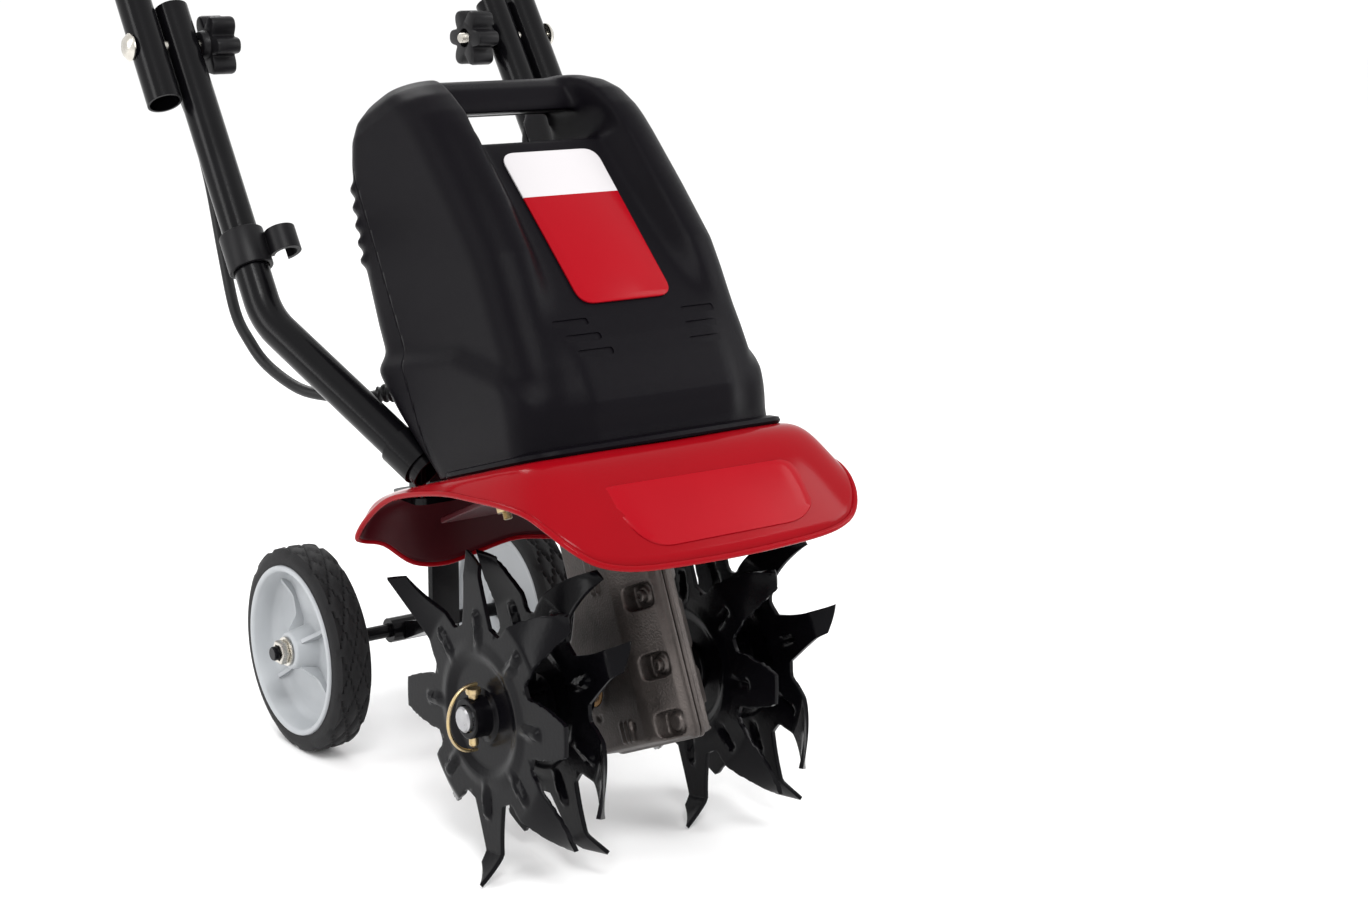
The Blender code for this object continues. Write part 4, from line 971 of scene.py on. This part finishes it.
def make_tines(looks):
    long_left, long_right = TINE_RADIUS, TINE_RADIUS - 0.0005
    kind_a = [("hook", -0.0230, long_left), ("straight", 0.0040, long_left), ("wide", 0.0215, long_left),
              ("stub", 0.0, STUB_RADIUS), ("wide", 0.0190, long_left), ("straight", -0.0145, long_left),
              ("wide", 0.0215, long_left), ("stub", 0.0, STUB_RADIUS)]
    kind_b = [("stub", 0.0, STUB_RADIUS), ("wide", -0.0140, long_right), ("hook", 0.0170, long_right),
              ("straight", 0.0140, long_right), ("hook", -0.0170, long_right), ("straight", 0.0140, long_right),
              ("stub", 0.0, STUB_RADIUS), ("hook", -0.0170, long_right)]
    discs = (("outer_left", -OUTER_TINE_X, kind_a, 38), ("inner_left", -INNER_TINE_X, kind_b, 15),
             ("inner_right", INNER_TINE_X, kind_a, 38), ("outer_right", OUTER_TINE_X, kind_b, 18))
    for name, x, kind, degrees in discs:
        make_tine(f"disc_{name}", x, kind, math.radians(degrees), looks, f"tine_{name}")
    for word, side in SIDES:
        profile = [(0.0276, 0.0086), (0.0276, 0.0145), (0.0300, 0.0150), (0.0330, 0.0138), (0.0500, 0.0136),
                   (0.0540, 0.0180), (0.0560, 0.0180), (0.0600, 0.0180), (0.0625, 0.0136), (0.0930, 0.0136),
                   (0.0950, 0.0180), (0.1000, 0.0180), (0.1015, 0.0128), (0.1130, 0.0126), (0.1135, 0.0120),
                   (0.1135, 0.0086)]
        core = turned(sided(side, rounded(profile, 0.0008, 2)), 48)
        near, far = sorted((side * 0.0630, side * 0.0920))
        rib = blocky((near, -0.0012, 0.0125), (far, 0.0012, 0.0195), 0.0011, "X")
        ribs = [moved(rib, Matrix.Rotation(2 * math.pi * i / 8, 4, "X")) for i in range(8)]
        piece(f"tine_spool_{word}", *joined(core, *ribs), SHAFT, "tine_drive", looks["tine"],
              [f"tine_hub_{word}"], 30)


def make_click_pins(looks):
    for word, side in SIDES:
        place = SHAFT @ Matrix.Translation((side * CLICK_PIN_X, 0, 0))
        pin = turned([(-0.0185, 0.0001), (-0.0185, 0.0018), (-0.0172, 0.0030), (0.0146, 0.0030),
                      (0.0150, 0.0044), (0.0165, 0.0049), (0.0185, 0.0044), (0.0185, 0.0001)], 28, "Z")
        piece(f"click_pin_{word}_visual", *pin, place, "tine_drive", looks["zinc"], [f"click_pin_{word}"])
        reach, rise = 0.0170, 0.0208
        route = [Vector((-side * 0.0025, 0, rise))]
        for i in range(41):
            angle = math.radians(90 - 180 * i / 40)
            route.append(Vector((side * (0.0010 + reach * math.cos(angle)), 0, rise * math.sin(angle))))
        route.append(Vector((-side * 0.0025, 0, -rise)))
        piece(f"click_ring_{word}_visual", *swept(route, RING_WIRE_RADIUS, 14), place,
              f"click_ring_{word}_body", looks["zinc"], [f"click_ring_{word}"], 50)


# Gear case

CASE_LEFT = (
    # distance from the join, front, inset of the other sides
    (0.0002, -0.0775, 0.0000), (0.0030, -0.0775, 0.0000), (0.0032, -0.0755, 0.0014), (0.0080, -0.0730, 0.0020),
    (0.0140, -0.0620, 0.0026), (0.0185, -0.0520, 0.0036), (0.0202, -0.0460, 0.0062),
)
CASE_RIGHT = (
    (0.0002, -0.0775, 0.0000), (0.0030, -0.0775, 0.0000), (0.0032, -0.0755, 0.0014), (0.0080, -0.0748, 0.0020),
    (0.0135, -0.0710, 0.0026), (0.0185, -0.0620, 0.0036), (0.0202, -0.0560, 0.0062),
)
CASE_POCKETS = ((-0.0650, 0.0910), (-0.0650, 0.0470), (-0.0650, 0.0040), (-0.0660, -0.0320))


def case_outline(front, inset):
    top, bottom, back = 0.1240, -0.0440 + inset, 0.0040 - inset
    outline = [(front, top), (front, bottom), (0.014, bottom)]
    radius = 0.0400 - inset
    for i in range(14):
        angle = math.radians(-60 + 10 * i)
        outline.append((radius * math.cos(angle), radius * math.sin(angle)))
    return outline + [(back, 0.0520), (back, top)]


def case_block(side, near, far, low, high, radius):
    """A rounded block from one distance off the join to another, over a (y, z) span."""
    a, b = sorted((side * near, side * far))
    return blocky((a, low[0], low[1]), (b, high[0], high[1]), radius, "X")


def make_gear_case(looks):
    for word, side in SIDES:
        layers = []
        for depth, front, inset in CASE_LEFT if side < 0 else CASE_RIGHT:
            layers.append([(side * depth, y, z) for y, z in rounded(case_outline(front, inset), 0.0050, 3)])
        obj = loose("case", *lofted(layers))
        adds, cuts = [], []
        boss = [(0.0150, 0.0001), (0.0206, 0.0001), (0.0206, 0.0165), (0.0150, 0.0200)]
        adds.append(turned(sided(side, boss), 40))
        for y, z in CASE_POCKETS:
            low, high = (y - 0.0078, z - 0.0078), (y + 0.0112, z + 0.0078)
            cuts.append(case_block(side, 0.0072, 0.0300, low, high, 0.0050))
        for y, z in ((-0.0010, -0.0180), (-0.0360, -0.0280), (-0.0400, 0.0980)):
            ring = [(0.0190, 0.0001), (0.0300, 0.0001), (0.0300, 0.0034), (0.0190, 0.0030)]
            cuts.append(moved(turned(sided(side, ring), 24), Matrix.Translation((0, y, z))))
        for y in (-0.0330, -0.0270):
            adds.append(case_block(side, 0.0170, 0.0218, (y - 0.0012, 0.0560), (y + 0.0012, 0.0830), 0.0011))
        for y in (-0.0330, -0.0280, -0.0230):
            adds.append(case_block(side, 0.0170, 0.0216, (y - 0.0010, -0.0370), (y + 0.0010, -0.0250), 0.0009))
        for part in cuts:
            boolean(obj, loose("cut", *part))
        for y, z in CASE_POCKETS:
            tower = [(0.0010, 0.0001), (0.0098, 0.0001), (0.0098, 0.0054), (0.0010, 0.0062)]
            adds.append(moved(turned(sided(side, tower), 24), Matrix.Translation((0, y, z))))
        for part in adds:
            boolean(obj, loose("add", *part), "UNION")
        bore = turned([(-0.05, 0.0001), (0.05, 0.0001), (0.05, 0.0112), (-0.05, 0.0112)], 32)
        boolean(obj, loose("bore", *bore))
        remesh(obj, 0.0009, 3)
        obj.data.transform(BODY)
        obj.name = f"gear_case_{word}_visual"
        dress(obj, "chassis", looks["cast"], [f"gear_case_{word}"], 60)
    for i, (y, z) in enumerate(CASE_POCKETS[:3]):
        head = [(-0.0096, 0.0001), (-0.0096, 0.0036), (-0.0122, 0.0038), (-0.0130, 0.0032), (-0.0130, 0.0017),
                (-0.0118, 0.0015), (-0.0118, 0.0001)]
        piece(f"case_screw_{i + 1}_visual", *turned(head, 24), BODY @ Matrix.Translation((0, y, z)), "chassis",
              looks["cast"], [f"case_screw_{i + 1}"], 40)


def make_shield_bolts(looks):
    washer = [(0.1228, 0.0032), (0.1242, 0.0032), (0.1242, 0.0086), (0.1232, 0.0088), (0.1228, 0.0080)]
    nut = rounded([(0.1165, 0.0031), (0.1228, 0.0031), (0.1228, 0.0066), (0.1165, 0.0066)], 0.0010, 2)
    stud = [(0.1118, 0.0001), (0.1118, 0.0022)]
    for k in range(7):
        stud += [(0.1124 + 0.0009 * k, 0.0029), (0.11285 + 0.0009 * k, 0.0025)]
    stud += [(0.1240, 0.0026), (0.1240, 0.0001)]
    bolt = joined(turned(washer, 32, "Z"), turned(nut, 6, "Z"), turned(stud, 20, "Z"))
    for i, (x, y) in enumerate(((-0.0700, -0.0600), (-0.0700, -0.0300), (0.0700, -0.0600), (0.0700, -0.0300))):
        place = BODY @ Matrix.Translation((x, y, 0))
        piece(f"shield_nut_{i + 1}", *bolt, place, "chassis", looks["zinc"], [f"shield_bolt_{i + 1}"], 30)


# Wheels

def tyre(side):
    """A tyre whose tread is cut by two sets of crossing grooves."""
    steps, rows = 168, 12
    sections = []
    for i in range(steps):
        angle = 2 * math.pi * i / steps
        section = [(0.0004, RIM_RADIUS + 0.0001), (0.0002, 0.0660), (0.0012, 0.0690)]
        for j in range(rows + 1):
            share = j / rows
            across = 0.0030 + (TYRE_WIDTH - 0.0060) * share
            crown = 0.0722 + 0.0006 * math.sin(math.pi * share)
            u, v = i / 6.0, share * 4.0
            groove = min(abs((u + v) % 2.0 - 1.0), abs((u - v) % 2.0 - 1.0))
            section.append((across, crown - 0.0022 * (1 - eased(groove / 0.30))))
        section += [(TYRE_WIDTH - 0.0012, 0.0690), (TYRE_WIDTH - 0.0002, 0.0660),
                    (TYRE_WIDTH - 0.0004, RIM_RADIUS + 0.0001)]
        sections.append([(side * a, r * math.cos(angle), r * math.sin(angle)) for a, r in section])
    return lofted(sections, ring=True)


def wheel_hub(side):
    """A dished wheel with four ribs from its hub to its rim."""
    rim = [(0.0010, 0.0560), (0.0006, 0.0590), (0.0012, RIM_RADIUS - 0.0002), (0.0278, RIM_RADIUS - 0.0002),
           (0.0296, 0.0600), (0.0298, 0.0578), (0.0284, 0.0562), (0.0240, 0.0550), (0.0150, 0.0535),
           (0.0112, 0.0500), (0.0100, 0.0440), (0.0106, 0.0220), (0.0120, 0.0165), (0.0225, 0.0142),
           (0.0285, 0.0132), (0.0300, 0.0118), (0.0300, 0.0064), (0.0010, 0.0064), (0.0010, 0.0150),
           (0.0070, 0.0180), (0.0075, 0.0500), (0.0040, 0.0545)]
    dish = turned(sided(side, rounded(rim, 0.0018, 3)), 96)
    shape = [(0.0100, 0.0135), (0.0100, 0.0545), (0.0180, 0.0545), (0.0125, 0.0400), (0.0150, 0.0250),
             (0.0262, 0.0135)]
    rib = prism(sided(side, rounded(shape, 0.0030, 3)), (-0.0014, 0.0014))
    return joined(dish, *(moved(rib, Matrix.Rotation(math.radians(52 + 90 * i), 4, "X")) for i in range(4)))


def make_wheels(looks):
    for word, side in SIDES:
        place = MACHINE @ Matrix.Translation((side * TYRE_INNER_X, AXLE_Y, AXLE_Z))
        piece(f"tyre_{word}_visual", *tyre(side), place, f"wheel_{word}", looks["rubber"],
              [f"tyre_{word}"], 28)
        piece(f"wheel_hub_{word}_visual", *wheel_hub(side), place, f"wheel_{word}", looks["grey"],
              [f"wheel_hub_{word}"], 35)

        centre = MACHINE @ Matrix.Translation((0, AXLE_Y, AXLE_Z))
        washer = [(0.1024, 0.0058), (0.1038, 0.0058), (0.1038, 0.0102), (0.1027, 0.0104), (0.1024, 0.0096)]
        nut = sided(side, [(0.1038, 0.0056), (0.1098, 0.0056), (0.1098, 0.0088), (0.1038, 0.0088)])
        fastener = joined(turned(sided(side, washer), 40), turned(rounded(nut, 0.0014, 3), 6))
        piece(f"axle_nut_{word}_visual", *fastener, centre, "wheel_carriage", looks["bright"],
              [f"axle_nut_{word}"], 30)


# Handles

PIPE_SIDES = 36
SLEEVE_SIDES = 40
SLEEVE_X = 0.0840
TUBE_TAIL = 0.0450
KNOB_LAYERS = (
    # distance from the middle, growth of the star's radius, radius of the round collar
    (0.0970, -0.0022, 0), (0.0976, -0.0006, 0), (0.0992, 0.0, 0), (0.1128, 0.0, 0), (0.1144, -0.0006, 0),
    (0.1150, -0.0024, 0), (0.1150, 0, 0.0108), (0.1190, 0, 0.0096), (0.1196, 0, 0.0088),
)


def ring_wall(outer, inner, sides):
    """The wall between two open tubes of as many points."""
    points = list(outer[0]) + list(inner[0])
    count = len(outer[0])
    faces = list(outer[1]) + [tuple(count + i for i in reversed(face)) for face in inner[1]]
    for row in (0, count // sides - 1):
        faces += band_faces(row * sides, count + row * sides, sides)
    return points, faces


def pipe(route):
    """A hollow round tube with open ends."""
    return ring_wall(swept(route, TUBE_RADIUS, PIPE_SIDES, caps=False),
                     swept(route, TUBE_RADIUS - TUBE_WALL, PIPE_SIDES, caps=False), PIPE_SIDES)


def star_knob(side):
    """A six-lobed knob with a collar, a recess for the nut and a bore for the bolt."""
    lobes, steps = 6, 144
    sections = []
    for depth, grow, collar in KNOB_LAYERS:
        section = []
        for i in range(steps):
            angle = 2 * math.pi * i / steps
            star = 0.0188 + 0.0042 * math.cos(lobes * angle) - 0.0008 * math.cos(2 * lobes * angle) + grow
            radius = collar or star
            section.append((side * depth, radius * math.cos(angle), radius * math.sin(angle)))
        sections.append(section)
    knob = loose("knob", *lofted(sections))
    recess = [(0.0900, 0.0001), (0.1020, 0.0001), (0.1020, 0.0068), (0.0900, 0.0078)]
    boolean(knob, loose("recess", *turned(sided(side, recess), 36)))
    bore = turned([(-0.2, 0.0001), (0.2, 0.0001), (0.2, 0.0042), (-0.2, 0.0042)], 24)
    boolean(knob, loose("bore", *bore))
    return knob


def fold_bolt(side):
    bolt = [(0.0930, 0.0001), (0.0930, 0.0030), (0.0938, 0.0037)]
    for k in range(9):
        bolt += [(0.0940 + 0.0010 * k, 0.0037), (0.0945 + 0.0010 * k, 0.0033)]
    bolt += [(0.1030, 0.0037), (0.1699, 0.0037), (0.1699, 0.0094), (0.1710, 0.0096), (0.1740, 0.0068),
             (0.1750, 0.0040), (0.1750, 0.0001)]
    return turned(sided(side, bolt), 32)


def make_handles(looks):
    sleeves = []
    for word, side in SIDES:
        start = Vector((side * SLEEVE_X, 0.0900, 0.2330))
        corner = Vector((side * LOWER_TUBE_X, 0.2155, 0.3195))
        route = filleted([start, corner, along_handle(0.0300, side * LOWER_TUBE_X)], 0.060)
        piece(f"lower_tube_{word}", *pipe(route), MACHINE, "chassis", looks["enamel"],
              [f"lower_handle_{word}"], 40)
        ends = [start + (corner - start) * 0.04, start + (corner - start) * 0.18]
        inner = swept(ends, TUBE_RADIUS + 0.0003, SLEEVE_SIDES, caps=False)
        outer = swept(ends, TUBE_RADIUS + 0.0021, SLEEVE_SIDES, caps=False)
        sleeves.append(ring_wall(outer, inner, SLEEVE_SIDES))

        knob = star_knob(side)
        knob.data.transform(FOLD)
        knob.name = f"knob_{word}_visual"
        dress(knob, f"knob_{word}_body", looks["plastic"], [f"knob_{word}"], 38)
        piece(f"fold_bolt_{word}_visual", *fold_bolt(side), FOLD, "chassis", looks["bright"],
              [f"fold_bolt_{word}"], 30)

    plate = blocky((-0.0900, 0.0945, 0.2105), (0.0900, 0.1300, 0.2147), 0.0080, "Z", 5)
    webs = [blocky((x - 0.0025, 0.0960, 0.2140), (x + 0.0025, 0.1120, 0.2340), 0.002, "Z")
            for x in (-SLEEVE_X, SLEEVE_X)]
    piece("handle_bracket_visual", *joined(plate, *webs, *sleeves), MACHINE, "chassis", looks["enamel"],
          ["handle_bracket"], 35)

    route = filleted([along_handle(-TUBE_TAIL, -UPPER_TUBE_X), along_handle(CROSSBAR_RISE, -UPPER_TUBE_X),
                      along_handle(CROSSBAR_RISE, UPPER_TUBE_X), along_handle(-TUBE_TAIL, UPPER_TUBE_X)], 0.070)
    piece("upper_tube", *pipe(route), MACHINE, "upper_handle_body", looks["enamel"], ["upper_handle"], 40)


def make_clip(looks):
    band = rounded([(-0.0135, TUBE_RADIUS + 0.0003), (-0.0135, 0.0152), (0.0135, 0.0152),
                    (0.0135, TUBE_RADIUS + 0.0003)], 0.0009, 3)
    steps = 40
    outer, inner = [], []
    for i in range(steps + 1):
        angle = math.radians(-200 + 260 * i / steps)
        swell = 0.0006 * math.exp(-((i - steps) / 3.0) ** 2)
        for edge, radius in ((outer, 0.0108 + swell), (inner, 0.0078 - swell)):
            edge.append((0.0225 + radius * math.cos(angle), -0.0110 + radius * math.sin(angle)))
    clip = loose("clip", *turned(band, 56, "Z"))
    boolean(clip, loose("hook", *prism(outer + inner[::-1], (-0.0088, 0.0088))), "UNION")
    clip.data.transform(on_handle(-0.1620, -LOWER_TUBE_X))
    clip.name = "cord_clip_visual"
    dress(clip, "chassis", looks["plastic"], ["cord_clip"], 32)
    bevelled(clip, EDGE_BEVEL, 2, 40)


def make_grips(looks):
    """Foam sleeves on the crossbar, slightly barrelled, with fine rings and softer ends."""
    near, length, bore = 0.0482, 0.0396, 0.0123
    profile = [(near, bore)]
    for i in range(33):
        share = i / 32
        wave = 0.0003 * math.cos(share * 14 * math.pi)
        barrel = 0.0160 + 0.0004 * math.sin(math.pi * share)
        profile.append((near + length * share, barrel + wave - 0.0012 * (abs(2 * share - 1) > 0.97)))
    profile.append((near + length, bore))
    for word, side in SIDES:
        grip = turned(sided(side, profile), 48)
        piece(f"grip_{word}_visual", *grip, on_handle(CROSSBAR_RISE, 0), "upper_handle_body", looks["foam"],
              [f"grip_{word}"], 60)


# Carried-over CAD nodes

def finish_cad_nodes(looks):
    kept = {
        "enamel": ("wheel_bracket", "bracket_socket", "axle"),
        # The motor plate takes the shield's red darkened as painted shade
        "under": ("motor_plate",),
        "steel": ("tine_shaft", "motor_shaft"),
        "bronze": ("shaft_bush_left", "shaft_bush_right", "worm_wheel"),
        "bright": ("height_pin", "motor_can"),
        "plastic": ("cooling_fan", "switch_box_front", "switch_box_rear", "power_inlet", "trigger",
                    "lockout_button"),
    }
    for look, names in kept.items():
        for name in names:
            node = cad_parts[name]
            for holder in node.material_slots:
                holder.link = "OBJECT"
                holder.material = looks[look]
            bevelled(node, 0.0012 if name.startswith("switch_box") else EDGE_BEVEL, 3, 32)


make_stage()
looks = make_finishes()
make_lead(looks)
make_housing(looks)
make_label(looks)
make_shield(looks)
make_shield_inset(looks)
make_tines(looks)
make_click_pins(looks)
make_gear_case(looks)
make_shield_bolts(looks)
make_wheels(looks)
make_handles(looks)
make_clip(looks)
make_grips(looks)
finish_cad_nodes(looks)
